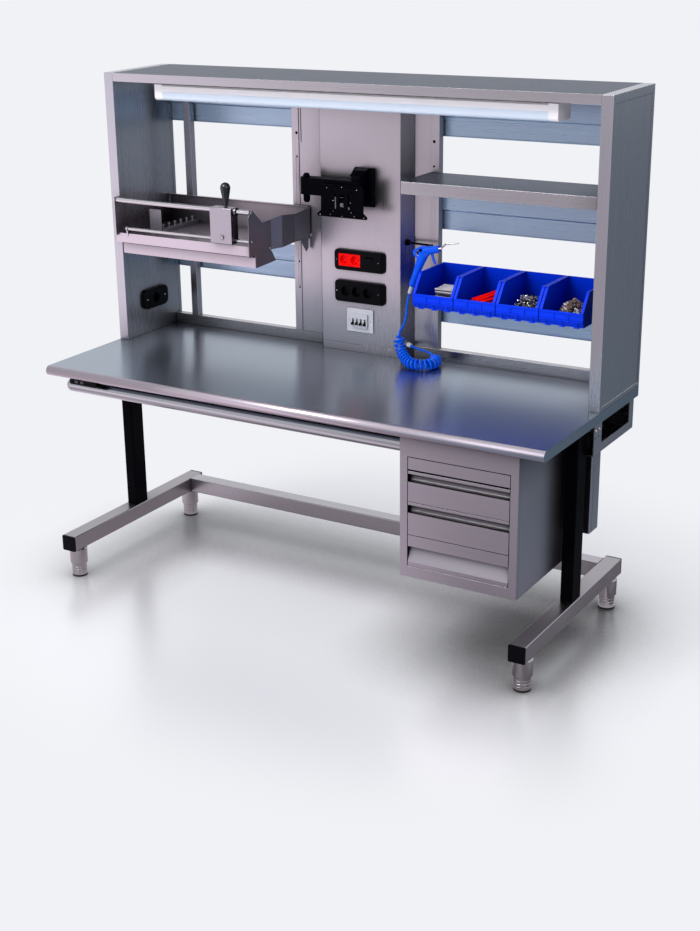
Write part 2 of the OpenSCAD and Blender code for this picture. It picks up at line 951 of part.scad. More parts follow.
module unit_body(zs) {
    z0 = zs[0];
    z1 = zs[1];
    front = tower_front - unit_out;
    difference() {
        along_y(front, tower_front)
            round_rect([unit_x, z0], [unit_x + unit_w, z1], unit_r);
        // The right end of the bezel slopes back to the column
        along_z(z0 - over, z1 + over) polygon([
            [unit_x + unit_w - end_slope, front - over],
            [unit_x + unit_w + over, front - over],
            [unit_x + unit_w + over, front + unit_out * 0.6]
        ]);
    }
    unit_cut_body(zs);
}

module unit_cut_body(zs) {
    along_y(tower_front - 0.5, tower_front + unit_box) square_from(
        [unit_x + unit_rim, zs[0] + unit_rim],
        [unit_x + unit_w - unit_rim, zs[1] - unit_rim]);
}

module socket_units() {
    front = tower_front - unit_out;
    low_mid = (lower_unit[0] + lower_unit[1]) / 2;
    color(black) {
        difference() {
            unit_body(upper_unit);
            block([red_left - gap, front - over, rocker_z - red_h / 2 - gap],
                [red_left + red_w + gap, front + red_deep + gap, rocker_z + red_h / 2 + gap]);
            block([rocker_x - rocker_w / 2 - gap, front - over, rocker_z - rocker_h / 2 - 0.8],
                [rocker_x + rocker_w / 2 + gap, rocker_y + rocker_deep,
                    rocker_z + rocker_h / 2 + 0.8]);
            translate([rocker_x, rocker_y, rocker_z])
                rod_x(-rocker_w / 2 - rocker_pin_l - gap, rocker_w / 2 + rocker_pin_l + gap,
                    rocker_pin_r + pin_fit);
        }
        difference() {
            unit_body(lower_unit);
            for (i = [0:2]) translate([unit_x + 46 + i * 47, 0, low_mid])
                socket_well(socket_r, socket_deep, front);
        }
    }
}

module red_sockets() {
    front = tower_front - unit_out - 1;
    color(red) difference() {
        block([red_left, front, rocker_z - red_h / 2],
            [red_left + red_w, front + red_deep, rocker_z + red_h / 2]);
        for (i = [0, 1]) translate([red_left + red_w * (0.25 + i / 2), 0, rocker_z])
            socket_well(red_socket_r, 12, front);
    }
}

module rocker_switch() {
    h = rocker_h / 2;
    color(black) {
        along_x(rocker_x - rocker_w / 2, rocker_x + rocker_w / 2)
            translate([rocker_y, rocker_z]) rotate(rocker_tilt) polygon([
                [-8, h - 1], [-6.2, 0], [-8, 1 - h], [3, -h * 0.7], [7, 0], [3, h * 0.7]]);
        translate([rocker_x, rocker_y, rocker_z])
            rod_x(-rocker_w / 2 - rocker_pin_l, rocker_w / 2 + rocker_pin_l, rocker_pin_r);
    }
}

// Circuit breaker: a white plate, four narrow breakers and their toggles
plate_w = 112;
plate_h = 88;
module_w = 70;
module_h = 53;
toggle_pitch = 17;
toggle_w = 7;
toggle_y = tower_front - 6;
toggle_z = breaker_z - 6;
drum_r = 5;
shaft_r = 2;
shaft_l = 64;

module breaker_plate() {
    color(white) difference() {
        translate([breaker_x, 0, breaker_z]) {
            along_y(tower_front - 5, tower_front)
                round_rect([-plate_w / 2, -plate_h / 2], [plate_w / 2, plate_h / 2], 4);
            block([-module_w / 2, tower_front - 13, -module_h / 2],
                [module_w / 2, tower_front + 30, module_h / 2]);
        }
        for (i = [-1.5:1.5]) translate([breaker_x + i * toggle_pitch, toggle_y, toggle_z])
            block([-toggle_w / 2 - gap, -20, -12], [toggle_w / 2 + gap, drum_r + 1, 14]);
        translate([breaker_x, toggle_y, toggle_z])
            rod_x(-shaft_l / 2 - gap, shaft_l / 2 + gap, shaft_r + 0.05);
    }
}

// The four toggles sit on one shaft that turns in the breakers' housing
module breaker_toggles() {
    color(black) translate([breaker_x, toggle_y, toggle_z]) {
        for (i = [-1.5:1.5]) translate([i * toggle_pitch - toggle_w / 2, 0, 0]) {
            rod_x(0, toggle_w, drum_r);
            along_x(0, toggle_w) polygon([
                [-3, 4], [-18, -3], [-18, -9], [-14, -9.5], [0, -4]]);
        }
        rod_x(-shaft_l / 2, shaft_l / 2, shaft_r);
    }
}

// Single socket on the left cheek's inner face
cheek_plate_d = 153;
cheek_plate_h = 77;

module cheek_socket() {
    z = bench_h + socket_z;
    x = -bay_x - recess;
    color(black) difference() {
        union() {
            along_x(x, x + 12) round_rect(
                [socket_y - cheek_plate_d / 2, z - cheek_plate_h / 2],
                [socket_y + cheek_plate_d / 2, z + cheek_plate_h / 2], 24);
            translate([0, socket_y, z]) rod_x(x - 30, x + 1, 32);
        }
        translate([0, socket_y, z]) {
            rod_x(x - 4, x + 12 + over, socket_r);
            for (y = [-pin_pitch / 2, pin_pitch / 2])
                translate([0, y, 0]) rod_x(x - 14, x, pin_r);
        }
    }
}

// Film cutter: a tray across the left bay, two guide rods along its front and
// a carriage that slides on them

cut_left = -bay_x + gap;
cut_right = tower_left - 118;
cut_lip_y = frame_front - 25;
cut_back = post_front - 3;
cut_floor = bench_h + tray_z;
cut_sheet = 2;
rod_y_at = frame_front - 22;
rod_mid = bench_h + rod_z;
low_rod_mid = rod_mid - rod_gap;
low_rod_left = -half_w + 80;
// Folds of the end plate in plan, from the front to the back
end_folds = [
    [cut_right, frame_front - 38], [cut_right, frame_front + 108],
    [cut_right + 21, frame_front + 150], [cut_right + 19, frame_front + 241],
    [cut_right + 41, cut_back]];

module tray_edge(inset) {
    polygon(concat(
        [[cut_left - over, cut_back + over], [cut_left - over, cut_lip_y - over],
            [end_folds[0][0] - inset, cut_lip_y - over]],
        [for (i = [1:4]) end_folds[i] - [inset, 0]],
        [[end_folds[4][0] - inset, cut_back + over]]));
}

module tray_wall_left() {
    along_x(cut_left, cut_left + cut_sheet) polygon([
        [rod_y_at - 14, cut_floor], [rod_y_at - 14, rod_mid + 12],
        [rod_y_at + 20, rod_mid + 12], [rod_y_at + 48, cut_floor + 68],
        [cut_back, cut_floor + 68], [cut_back, cut_floor]]);
}

module rod_saddle() {
    translate([low_rod_left + 5, 0, 0]) difference() {
        along_x(0, 6) {
            translate([rod_y_at, low_rod_mid]) circle(low_rod_r + 3);
            square_from([rod_y_at - 5, cut_floor - 1], [rod_y_at + 12, low_rod_mid - 3]);
        }
        translate([0, rod_y_at, low_rod_mid]) rod_x(-over, 6 + over, low_rod_r + gap);
    }
}

module cutter_tray() {
    low_band = cut_floor - 75;
    color(steel) {
        difference() {
            union() {
                intersection() {
                    along_x(cut_left, cut_right + 60) folded_sheet([
                        [cut_lip_y, cut_floor - 28], [cut_lip_y, cut_floor + 8],
                        [cut_lip_y + 9, cut_floor + 8], [cut_lip_y + 9, cut_floor],
                        [cut_back, cut_floor], [cut_back, cut_floor + 103],
                        [cut_back - 10, cut_floor + 103]
                    ], -cut_sheet);
                    along_z(cut_floor - 40, cut_floor + 120) tray_edge(cut_sheet + gap);
                }
                // The lip laps over the front of the left cheek
                block([cut_left - 6, cut_lip_y, cut_floor - 28],
                    [cut_left + over, cut_lip_y + cut_sheet, cut_floor + 8]);
                tray_wall_left();
            }
            translate([0, rod_y_at, rod_mid])
                rod_x(cut_left - over, cut_left + cut_sheet + over, rod_r + gap);
        }
        // Front support channel under the tray
        along_x(cut_left + 2, cut_right - cut_sheet - gap) folded_sheet([
            [frame_front + 25, low_band], [frame_front + 3, low_band],
            [frame_front + 3, low_band + 38], [frame_front + 29, low_band + 46],
            [frame_front + 29, cut_floor - cut_sheet]
        ], -cut_sheet);
        rod_saddle();
    }
}

module end_plate_side() {
    b = cut_floor - 30;
    p = frame_front;
    polygon([
        [p - 38, b], [p - 38, rod_mid - 16], [p - 13, rod_mid + 8], [p + 51, rod_mid - 47],
        [p + 108, rod_mid - 45], [p + 150, rod_mid - 35], [p + 241, rod_mid - 46],
        [cut_back, rod_mid - 32], [cut_back, b + 13]]);
}

module cutter_end_plate() {
    low_band = cut_floor - 75;
    color(dark_steel) {
        intersection() {
            along_z(low_band, rod_mid + 20) folded_sheet(end_folds, cut_sheet);
            along_x(cut_right - 10, cut_right + 60) end_plate_side();
        }
        // Front lug that closes the support channel
        along_x(cut_right - cut_sheet, cut_right) polygon([
            [frame_front + 3, low_band], [frame_front + 3, cut_floor - 28],
            [frame_front + 106, cut_floor - 26], [frame_front + 136, low_band + 4]]);
        // Rear lug
        along_x(cut_right + 30, cut_right + 30 + cut_sheet) polygon([
            [cut_back - 55, cut_floor - 15], [cut_back, cut_floor - 15],
            [cut_back, low_band + 22], [cut_back - 16, low_band + 9]]);
    }
}

module cutter_rods() {
    color(steel) {
        translate([0, rod_y_at, rod_mid])
            rod_x(cut_left - 8, cut_right - cut_sheet - gap, rod_r);
        translate([0, rod_y_at, low_rod_mid])
            rod_x(low_rod_left, cut_right - cut_sheet - gap, low_rod_r);
    }
}

// Pin rail on the tray's floor, with an upright stop at its front end
pins = 6;
pin_rail_x = cut_left + 122;
pin_rail_front = frame_front + 30;
pin_rail_l = 283;

module pin_rail() {
    color(dark_steel) {
        block([pin_rail_x, pin_rail_front, cut_floor],
            [pin_rail_x + 16, pin_rail_front + pin_rail_l, cut_floor + 12]);
        for (i = [0:pins - 1])
            translate([pin_rail_x + 8, pin_rail_front + 60 + i * 38, cut_floor + 11]) {
                cylinder(r = 3.5, h = 18);
                translate([0, 0, 14]) cylinder(r = 6, h = 6);
            }
        // Upright stop plate
        along_y(pin_rail_front + 45, pin_rail_front + 47) square_from(
            [pin_rail_x - 42, cut_floor], [pin_rail_x + 13, cut_floor + 88]);
    }
}

carriage_left = cut_right - 163;
carriage_low = low_rod_mid - 12;
carriage_top = rod_mid + 12;

module cutter_carriage() {
    x0 = carriage_left;
    x1 = carriage_left + carriage_w;
    y0 = rod_y_at - 24;
    color(steel) difference() {
        union() {
            along_x(x0, x1) round_rect(
                [y0, carriage_low], [y0 + carriage_d, carriage_top], 2);
            translate([0, rod_y_at, rod_mid]) rod_x(x1 - 1, x1 + 10, rod_r + 4);
            // Clamping screw in the front face
            translate([x0 + 52, 0, carriage_low + 24]) rod_y(y0 - 4, y0 + 1, 6);
        }
        translate([0, rod_y_at, rod_mid]) rod_x(x0 - over, x1 + 11, rod_r + rod_clear);
        translate([0, rod_y_at, low_rod_mid])
            rod_x(x0 - over, x1 + over, low_rod_r + rod_clear);
    }
}

module carriage_knob() {
    color(black) translate([carriage_left + 58, rod_y_at - 2, carriage_top]) rotate_extrude() {
        square([6, 10]);
        polygon([[0, 9], [8.5, 9], [11, 26], [16.5, 56], [18.5, 68], [18.5, 72], [0, 72]]);
        translate([0, 72]) intersection() {
            circle(18.5);
            square([20, 20]);
        }
    }
}

// Monitor arm: a wedge-shaped wall bracket, two folded links, a swivelling
// head and a tilting plate

arm_mid = bench_h + arm_z;
pivot_x = tower_x + 23;
arm_y = tower_front - 55;
elbow_x = pivot_x - link_l;
head_x = pivot_x - 44;
pin_rad = 6;
pin_fit = 0.05;
fork_r = 24;
bracket_high = arm_mid + 55;
bracket_low = arm_mid - 85;
link_top = arm_mid + link_h / 2;
link_split = arm_mid - link_h / 2;
outer_low = link_split - gap - link_h + 2;
head_r = 15;

module arm_bracket() {
    y0 = arm_y;
    color(black) difference() {
        union() {
            // Wall plate and tapered housing
            along_x(pivot_x - 40, pivot_x + 40) polygon([
                [tower_front, bracket_low], [tower_front, bracket_high],
                [tower_front - 8, bracket_high], [tower_front - 24, bracket_high - 12],
                [tower_front - 24, bracket_low + 20], [tower_front - 8, bracket_low]]);
            // Fork round the wall pivot
            along_z(bracket_low + 20, bracket_high - 22) {
                translate([pivot_x, y0]) circle(fork_r);
                square_from([pivot_x - fork_r, y0], [pivot_x + fork_r, tower_front - 20]);
            }
            // Wedge on top of the fork
            along_x(pivot_x - fork_r, pivot_x + fork_r) polygon([
                [y0 - 16, bracket_high - 22], [y0 + 10, bracket_high - 4],
                [tower_front - 10, bracket_high], [tower_front - 10, bracket_high - 22]]);
        }
        // Room for the inner link
        block([pivot_x - 60, y0 - fork_r - over, link_split - gap],
            [pivot_x + 60, y0 + link_r + 4, link_top + gap]);
        translate([pivot_x, y0, bracket_low])
            cylinder(r = pin_rad + pin_fit, h = bracket_high - 30 - bracket_low);
    }
}

module link_shape(x0, r0, x1, r1) {
    translate([x0, arm_y]) circle(r0);
    translate([x1, arm_y]) circle(r1);
    polygon([[x0, arm_y - r0], [x1, arm_y - r1], [x1, arm_y + r1], [x0, arm_y + r0]]);
}

// The inner link carries the wall pivot's pin
module arm_link_inner() {
    color(black) difference() {
        union() {
            along_z(link_split, link_top) link_shape(elbow_x, link_r, pivot_x, link_r);
            translate([pivot_x, arm_y, bracket_low + 22])
                cylinder(r = pin_rad, h = bracket_high - 34 - bracket_low - 22);
        }
        translate([elbow_x, arm_y, link_split - over])
            cylinder(r = pin_rad + pin_fit, h = link_h + 2 * over);
    }
}

// The outer link carries the elbow's pin, whose round heads show at both ends
module arm_link_outer() {
    color(black) difference() {
        union() {
            along_z(outer_low, link_split - gap) link_shape(elbow_x, link_r, head_x, head_r + 1);
            translate([elbow_x, arm_y, outer_low - 31]) {
                cylinder(r = pin_rad, h = link_top - outer_low + 31 + gap);
                translate([0, 0, 8]) cylinder(r = 12.5, h = 24);
                cylinder(r1 = 8, r2 = 12.5, h = 8);
                translate([0, 0, link_top - outer_low + 31 + gap]) {
                    cylinder(r = 12.5, h = 6);
                    translate([0, 0, 6]) cylinder(r1 = 12.5, r2 = 8, h = 7);
                }
            }
        }
        translate([head_x, arm_y, outer_low - over])
            cylinder(r = pin_rad + pin_fit, h = link_h + 3 * over);
    }
}

plate_mid = arm_mid - 56.5;
tilt_y = arm_y - 19;
tilt_r = 4;
barrel_r = 9.5;
tab_x = 14;

// Swivelling head: a hub under the outer link, with the tilt shaft across it
module arm_head() {
    hub_top = outer_low - gap;
    color(black) translate([head_x, 0, 0]) {
        translate([0, arm_y, plate_mid - 24]) cylinder(r = head_r, h = hub_top - plate_mid + 24);
        translate([0, arm_y, hub_top - 1])
            cylinder(r = pin_rad, h = link_split - gap - hub_top + 1);
        translate([0, tilt_y, plate_mid]) {
            rod_x(-tab_x + gap + 3, tab_x - gap - 3, barrel_r);
            rod_x(-tab_x - 5, tab_x + 5, tilt_r);
        }
    }
}

// Tilting plate with the 75 and 100 mm hole squares of a monitor mount
vesa_t = 3;
vesa_front = tilt_y - 17 - vesa_t;
vesa_x = head_x;
vesa_hole_r = 2.2;

module vesa_outline() {
    w = vesa_w / 2;
    h = vesa_h / 2;
    polygon([
        [-w, h - 6], [-w + 6, h], [w - 6, h], [w, h - 6], [w, 22 - h], [w + 15, 10 - h],
        [w + 15, 1 - h], [w + 12, -h], [-w - 12, -h], [-w - 15, 1 - h], [-w - 15, 10 - h],
        [-w, 22 - h]]);
}

module vesa_plate() {
    color(black) {
        translate([vesa_x, 0, plate_mid]) difference() {
            along_y(vesa_front, vesa_front + vesa_t) vesa_outline();
            for (s = [37.5, 50], x = [-s, s], z = [-s, s])
                translate([x, 0, z]) rod_y(vesa_front - over, vesa_front + vesa_t + over,
                    vesa_hole_r);
            for (x = [-28, 28]) along_y(vesa_front - over, vesa_front + vesa_t + over)
                round_rect([x - 3, -28], [x + 3, 28], 2.9);
            along_y(vesa_front - over, vesa_front + vesa_t + over)
                round_rect([-9, -20], [9, 24], 4);
        }
        for (x = [head_x - tab_x - 3, head_x + tab_x]) difference() {
            along_x(x, x + 3) {
                translate([tilt_y, plate_mid]) circle(barrel_r);
                square_from([vesa_front + 1, plate_mid - barrel_r],
                    [tilt_y, plate_mid + barrel_r]);
            }
            translate([0, tilt_y, plate_mid]) rod_x(x - over, x + 3 + over, tilt_r + pin_fit);
        }
    }
}

// Storage bins, hung on the lower right rail by a lip behind their backs
bins = 4;
bin_left = inner_right + 35.5;
bin_back = post_front - gap;
bin_front = bin_back - bin_l;
bin_top = bench_h + 369;
bin_low = bin_top - bin_h;
bin_lip = 55;
bin_slope = 49;
bin_foot = 4;
bin_bead = 6;
bin_post = 10;
hook_z = bench_h + low_rail + rail_h;

module bin_side() {
    f = bin_front;
    polygon([
        [f + 10, bin_low + bin_foot], [bin_back, bin_low + bin_foot], [bin_back, bin_top],
        [f + bin_slope, bin_top], [f, bin_low + bin_lip], [f, bin_low + 17],
        [f + 5, bin_low + 13]]);
}

module bin_room() {
    f = bin_front + bin_wall;
    polygon([
        [f + 9, bin_low + bin_foot + bin_wall],
        [bin_back - bin_wall, bin_low + bin_foot + bin_wall],
        [bin_back - bin_wall, bin_top + over], [f - 12, bin_top + over],
        [f - 12, bin_low + bin_lip], [f, bin_low + bin_lip], [f, bin_low + 18]]);
}

module storage_bin() {
    difference() {
        along_x(0, bin_w) bin_side();
        along_x(bin_wall, bin_w - bin_wall) bin_room();
    }
    // Bead along the sides' upper edges, and a thicker post on each front edge
    for (x = [0, bin_w - bin_bead]) along_x(x, x + bin_bead) folded_sheet([
        [bin_front + bin_slope - 4, bin_top], [bin_back, bin_top]], -5);
    for (x = [0, bin_w - bin_post]) along_x(x, x + bin_post) folded_sheet([
        [bin_front, bin_low + bin_lip - 8], [bin_front, bin_low + bin_lip],
        [bin_front + bin_slope, bin_top], [bin_front + bin_slope + 8, bin_top]], -7);
    // Lip and two ribs of the front wall
    block([0, bin_front - 2.5, bin_low + bin_lip - 6],
        [bin_w, bin_front + 1, bin_low + bin_lip]);
    for (x = [bin_w / 3, bin_w * 2 / 3]) block([x - 2, bin_front - 2.5, bin_low + 17],
        [x + 2, bin_front + 1, bin_low + bin_lip - 5]);
    for (x = [18, bin_w / 2 - 9, bin_w - 36], y = [bin_front + 9, bin_back - 30])
        translate([x, y, bin_low]) cube([18, 10, bin_foot + 1]);
    // Two lips that hook over the rail
    for (x = [20, 72]) along_x(x, x + 30) folded_sheet([
        [bin_back - 1, hook_z + 2 + gap], [rail_front + 6, hook_z + 2 + gap],
        [rail_front + 6, hook_z - 12]], -2);
}

module storage_bins() {
    color(bin_blue) for (i = [0:bins - 1])
        translate([bin_left + i * bin_pitch, 0, 0]) storage_bin();
}

// Air gun, hung by its ring on a peg of the service column's splayed side

gun_y = tower_front - 60;
gun_ring = [tower_right + 114, bench_h + 425];
// Half length and half height of the loop and of its hole, and its thickness
loop_out = [28, 14];
loop_in = [17, 6.5];
loop_t = 13;
loop_tilt = 28;
gun_r = 20;
gun_head_end = [tower_right + 190, bench_h + 440];
gun_grip_end = [tower_right + 82, bench_h + 300];
gun_grip_top = [tower_right + 124, bench_h + 416];
peg_r = 4;
// The peg lies in the upper end of the loop's hole
peg_at = gun_ring + (loop_in[0] - loop_in[1]) * [cos(loop_tilt), sin(loop_tilt)]
    + [0, loop_in[1] - peg_r - gap];
peg_foot = [tower_right + tower_splay / 2, tower_front + tower_proud / 2];

// Rod or cone between two points
module strut(a, b, r1, r2) {
    d = b - a;
    translate(a) rotate([0, acos(d[2] / norm(d)), atan2(d[1], d[0])])
        cylinder(r1 = r1, r2 = r2, h = norm(d));
}

function in_gun(p) = [p[0], gun_y, p[1]];

module gun_hook() {
    z = peg_at[1];
    bend = [peg_at[0], peg_foot[1] - 12, z];
    tip = [peg_at[0], gun_y - 18, z];
    side = unit([tower_proud, -tower_splay]);
    foot = [peg_foot[0], peg_foot[1], z];
    color(black) {
        strut(foot, foot + 5 * [side[0], side[1], 0], 11, 11);
        strut(foot, bend, peg_r, peg_r);
        translate(bend) sphere(peg_r + 1);
        strut(bend, tip, peg_r, peg_r);
        translate(tip) sphere(peg_r + 1);
    }
}

module gun_loop(half, thick) {
    end = half[0] - half[1];
    along_y(gun_y - thick / 2, gun_y + thick / 2) translate(gun_ring) rotate(loop_tilt) {
        for (x = [-end, end]) translate([x, 0]) circle(half[1]);
        square([2 * end, 2 * half[1]], center = true);
    }
}

module gun_body() {
    color(bin_blue) difference() {
        union() {
            gun_loop(loop_out, loop_t);
            strut(in_gun(gun_ring + [gun_r, 3]), in_gun(gun_head_end), 15, 13);
            translate(in_gun(gun_ring + [gun_r, 3])) sphere(15.8);
            strut(in_gun(gun_grip_end), in_gun(gun_grip_top), 10.5, 14);
        }
        gun_loop(loop_in, 120);
        // Room for the trigger's eye
        block([gun_head_end[0] - 44, gun_y - 4.5, gun_head_end[1] - 34],
            [gun_head_end[0] - 22, gun_y + 4.5, gun_head_end[1] - 3]);
        translate(in_gun(gun_head_end - [30, 14])) rod_y(-20, 20, 2 + pin_fit);
    }
}

// The trigger turns on its pin under the head
module gun_trigger() {
    eye = gun_head_end - [30, 14];
    color(bin_blue) {
        translate(in_gun(eye)) rod_y(-4, 4, 4);
        translate(in_gun(eye)) rod_y(-13, 13, 2);
        along_y(gun_y - 4, gun_y + 4) translate(eye) polygon([
            [-3, 0], [3, 0], [9, -22], [17, -42], [13, -44], [3, -24]]);
    }
}

module gun_nozzle() {
    along = unit(in_gun(gun_head_end) - in_gun(gun_ring + [gun_r, 3]));
    seat = in_gun(gun_head_end);
    knee = seat + [26, 0, 20];
    tip = knee + [49, 0, 7];
    color(steel) {
        strut(seat, seat + 9 * along, 6.5, 4);
        strut(seat + 5 * along, knee, 3, 3);
        translate(knee) sphere(3.5);
        strut(knee, tip, 3, 2.4);
    }
}

// Hose: a tube swept along smooth curves through points chosen by hand

function spline_at(p, i, u) =
    let (a = p[max(i - 1, 0)], b = p[i], c = p[i + 1], d = p[min(i + 2, last(p))])
        0.5 * (2 * b + (c - a) * u + (2 * a - 5 * b + 4 * c - d) * u * u
            + (3 * b - a - 3 * c + d) * u * u * u);
function smooth(p, steps) = concat(
    [for (i = [0:last(p) - 1], k = [0:steps - 1]) spline_at(p, i, k / steps)], [p[last(p)]]);
function way(p, i = 0, s = 0) = i == last(p) ? [s]
    : concat([s], way(p, i + 1, s + norm(p[i + 1] - p[i])));
function column(keys, p, k) = [for (i = [0:last(p)]) [keys[i], p[i][k]]];
// Points of the curve at equal steps of its length
function even(p, count) =
    let (s = way(p), x = column(s, p, 0), y = column(s, p, 1), z = column(s, p, 2))
        [for (i = [0:count]) let (t = s[last(s)] * i / count)
            [lookup(t, x), lookup(t, y), lookup(t, z)]];
function heading(p, i) =
    unit(i == 0 ? p[1] - p[0] : i == last(p) ? p[i] - p[i - 1] : p[i + 1] - p[i - 1]);
function square_to(n, t) = unit(n - (n * t) * t);
function sides_of(p, n, i = 0) = let (m = square_to(n, heading(p, i)))
    i == last(p) ? [m] : concat([m], sides_of(p, m, i + 1));

module swept_tube(p, r, sides) {
    n = sides_of(p, [0.3, 0.9, 0.2]);
    rings = [for (i = [0:last(p)]) let (t = heading(p, i), b = cross(t, n[i]))
        for (k = [0:sides - 1]) p[i] + r * (cos(360 * k / sides) * n[i]
            + sin(360 * k / sides) * b)];
    skin = [for (i = [0:last(p) - 1], k = [0:sides - 1])
        let (a = i * sides + k, b = i * sides + (k + 1) % sides)
            each [[a, a + sides, b], [b, a + sides, b + sides]]];
    ends = [[for (k = [0:sides - 1]) k],
        [for (k = [sides - 1:-1:0]) last(p) * sides + k]];
    polyhedron(concat(rings), concat(skin, ends));
}

// The hose leaves the gun's fitting, drops to the coil, lies on the worktop
// and comes back to the fitting on the service column
hose_r = hose_d / 2;
grip_way = unit(in_gun(gun_grip_end) - in_gun(gun_grip_top));
gun_port = in_gun(gun_grip_end) + 24 * grip_way;
face_way = [unit([tower_proud, -tower_splay])[0], unit([tower_proud, -tower_splay])[1], 0];
wall_port = [tower_right + 0.6 * tower_splay, tower_front + 0.6 * tower_proud, bench_h + 48]
    + 22 * face_way;
hose_points = [
    gun_port, gun_port + 10 * grip_way, [172, 256, 1082], [168, 256, 1055], [164, 256, 1020],
    [156, 255, 990], [146, 255, 974], [140, 254, 962], [138, 253, 950]];
coil_points = [
    [138, 253, 950], [137, 252, 938], [140, 249, 920], [149, 243, 900], [166, 232, 881],
    [190, 216, 868], [218, 204, 862.5], [246, 203, 862.5], [270, 217, 862.5],
    [282, 242, 862.5], [280, 270, 862.5], [266, 293, 863], [248, 304, 865]];
tail_points = [
    [248, 304, 865], [243, 315.5, 866.5], [230, 323, 872], [205, 322, 880], [178, 315, 886],
    wall_port + 10 * face_way, wall_port];

coil_line = even(smooth(coil_points, 8), curls * 8 + 10);
coil_side = sides_of(coil_line, [0.3, 0.9, 0.2]);

// Radius of the curl grows from nothing at each end within one turn
function curl_r(i) = coil_r * min(1, max(0, i - 2) / 7, max(0, last(coil_line) - 2 - i) / 7);
coil_path = [for (i = [0:last(coil_line)])
    let (a = 45 * i, n = coil_side[i], b = cross(heading(coil_line, i), n))
        coil_line[i] + curl_r(i) * (cos(a) * n + sin(a) * b)];
coil_gap = min([for (i = [0:last(coil_path) - 5], j = [i + 5:min(i + 20, last(coil_path))])
    norm(coil_path[i] - coil_path[j])]) - hose_d;

module hose_upper() {
    color(hose_blue) swept_tube(even(smooth(hose_points, 6), 12), hose_r, 10);
}

module hose_coil() {
    echo(str("Least gap of the coil to itself ", coil_gap, " mm"));
    color(hose_blue) swept_tube(coil_path, hose_r, 6);
}

module hose_tail() {
    color(hose_blue) swept_tube(even(smooth(tail_points, 6), 9), hose_r, 10);
}

// One fitting at the gun's grip, and one on the service column
module hose_fittings() {
    color(white) {
        strut(gun_port, in_gun(gun_grip_end), 6, 8);
        strut(wall_port, wall_port - 8 * face_way, 6, 8);
        strut(wall_port - 8 * face_way, wall_port - (22 - gap) * face_way, 9, 9);
    }
}

foot_beams();
rear_cross_beam();
beam_end_caps();
levelling_feet();
foot_pads();
column_outers();
column_inners();
worktop();
worktop_core();
side_brackets();
cable_tray();
front_tube();
tube_brackets();
hand_control();
up_button();
down_button();
service_box();
cabinet_shell();
drawer_1();
drawer_2();
drawer_3();
drawer_4();
cheek_left();
cheek_right();
canopy();
lamp_housing();
lamp_diffuser();
lamp_end_caps();
uprights();
sill_rails();
hanging_rails();
filler_panels();
tower_shell();
shelf();
socket_units();
red_sockets();
rocker_switch();
breaker_plate();
breaker_toggles();
cheek_socket();
cutter_tray();
cutter_end_plate();
cutter_rods();
pin_rail();
cutter_carriage();
carriage_knob();
arm_bracket();
arm_link_inner();
arm_link_outer();
arm_head();
vesa_plate();
storage_bins();
gun_hook();
gun_body();
gun_nozzle();
gun_trigger();
hose_upper();
hose_coil();
hose_tail();
hose_fittings();
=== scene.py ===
"""Looks of the packing table: materials, small fittings, goods in the bins, light and camera."""
import math
import random

import bmesh
import bpy
from mathutils import Matrix, Vector


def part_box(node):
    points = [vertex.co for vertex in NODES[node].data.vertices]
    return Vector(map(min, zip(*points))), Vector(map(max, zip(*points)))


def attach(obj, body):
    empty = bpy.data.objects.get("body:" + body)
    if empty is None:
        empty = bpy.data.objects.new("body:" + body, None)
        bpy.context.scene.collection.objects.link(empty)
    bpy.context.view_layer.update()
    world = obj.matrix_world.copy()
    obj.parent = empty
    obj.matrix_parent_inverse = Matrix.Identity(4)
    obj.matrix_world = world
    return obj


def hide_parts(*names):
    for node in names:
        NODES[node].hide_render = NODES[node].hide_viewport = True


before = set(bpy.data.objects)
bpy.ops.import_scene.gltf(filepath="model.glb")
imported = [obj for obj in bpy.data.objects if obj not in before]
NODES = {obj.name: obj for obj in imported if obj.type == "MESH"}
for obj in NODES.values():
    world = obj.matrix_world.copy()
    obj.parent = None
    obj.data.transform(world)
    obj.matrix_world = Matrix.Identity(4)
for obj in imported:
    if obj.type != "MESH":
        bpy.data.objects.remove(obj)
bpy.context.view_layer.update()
SCENE = bpy.context.scene


# Places, in millimetres, worked out from the CAD nodes

def corners(node):
    """Lowest and highest corner of a CAD node, in millimetres."""
    return [Vector([round(1000 * c, 2) for c in corner]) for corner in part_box(node)]


TOP = corners("worktop")[1].z
TOWER_FRONT = corners("tower_shell")[0].y
RAILS_BACK = corners("hanging_rails")[1].y
BINS_LOW = corners("storage_bins")[0]

# Middles of the two socket units on the service column, and places of their wells
LOWER_UNIT_Z = TOP + 232.5
UPPER_UNIT_Z = TOP + 350.5
LOWER_WELLS = (-120, -73, -26)
UPPER_WELLS = (-125, -79)
# Middle of the row of circuit breakers, and the width of one
BREAKER_X = -62
BREAKER_Z = TOP + 125
BREAKER_W = 17
# Guide rods of the film cutter, the plate they end in, and the carriage's left side
ROD_Y = 24
LOW_ROD_Z = TOP + 448
HIGH_ROD_Z = TOP + 554
END_PLATE_X = -345
CARRIAGE_X = END_PLATE_X - 163
# Half-round front edge of the worktop: middle line, radius, half length, and its bright skin, a
# painted highlight
NOSE_Y = -379
NOSE_Z = TOP - 18
NOSE_R = 18.12
NOSE_HALF = 999.9
NOSE_HIGHLIGHT_SKIN = 0.1
# Grip of the air gun: under the head and at the hose
GRIP_TOP = Vector((231, 256, 1256))
GRIP_END = Vector((189, 256, 1140))
# Bins: left side of the first one, front, floor, and the distance between two
BIN_X = BINS_LOW.x
BIN_FRONT = BINS_LOW.y + 2.5
BIN_FLOOR = BINS_LOW.z + 7
BIN_PITCH = 160
BINS = 4

BACK, FRONT, RIGHT, UP = (0, 1, 0), (0, -1, 0), (1, 0, 0), (0, 0, 1)


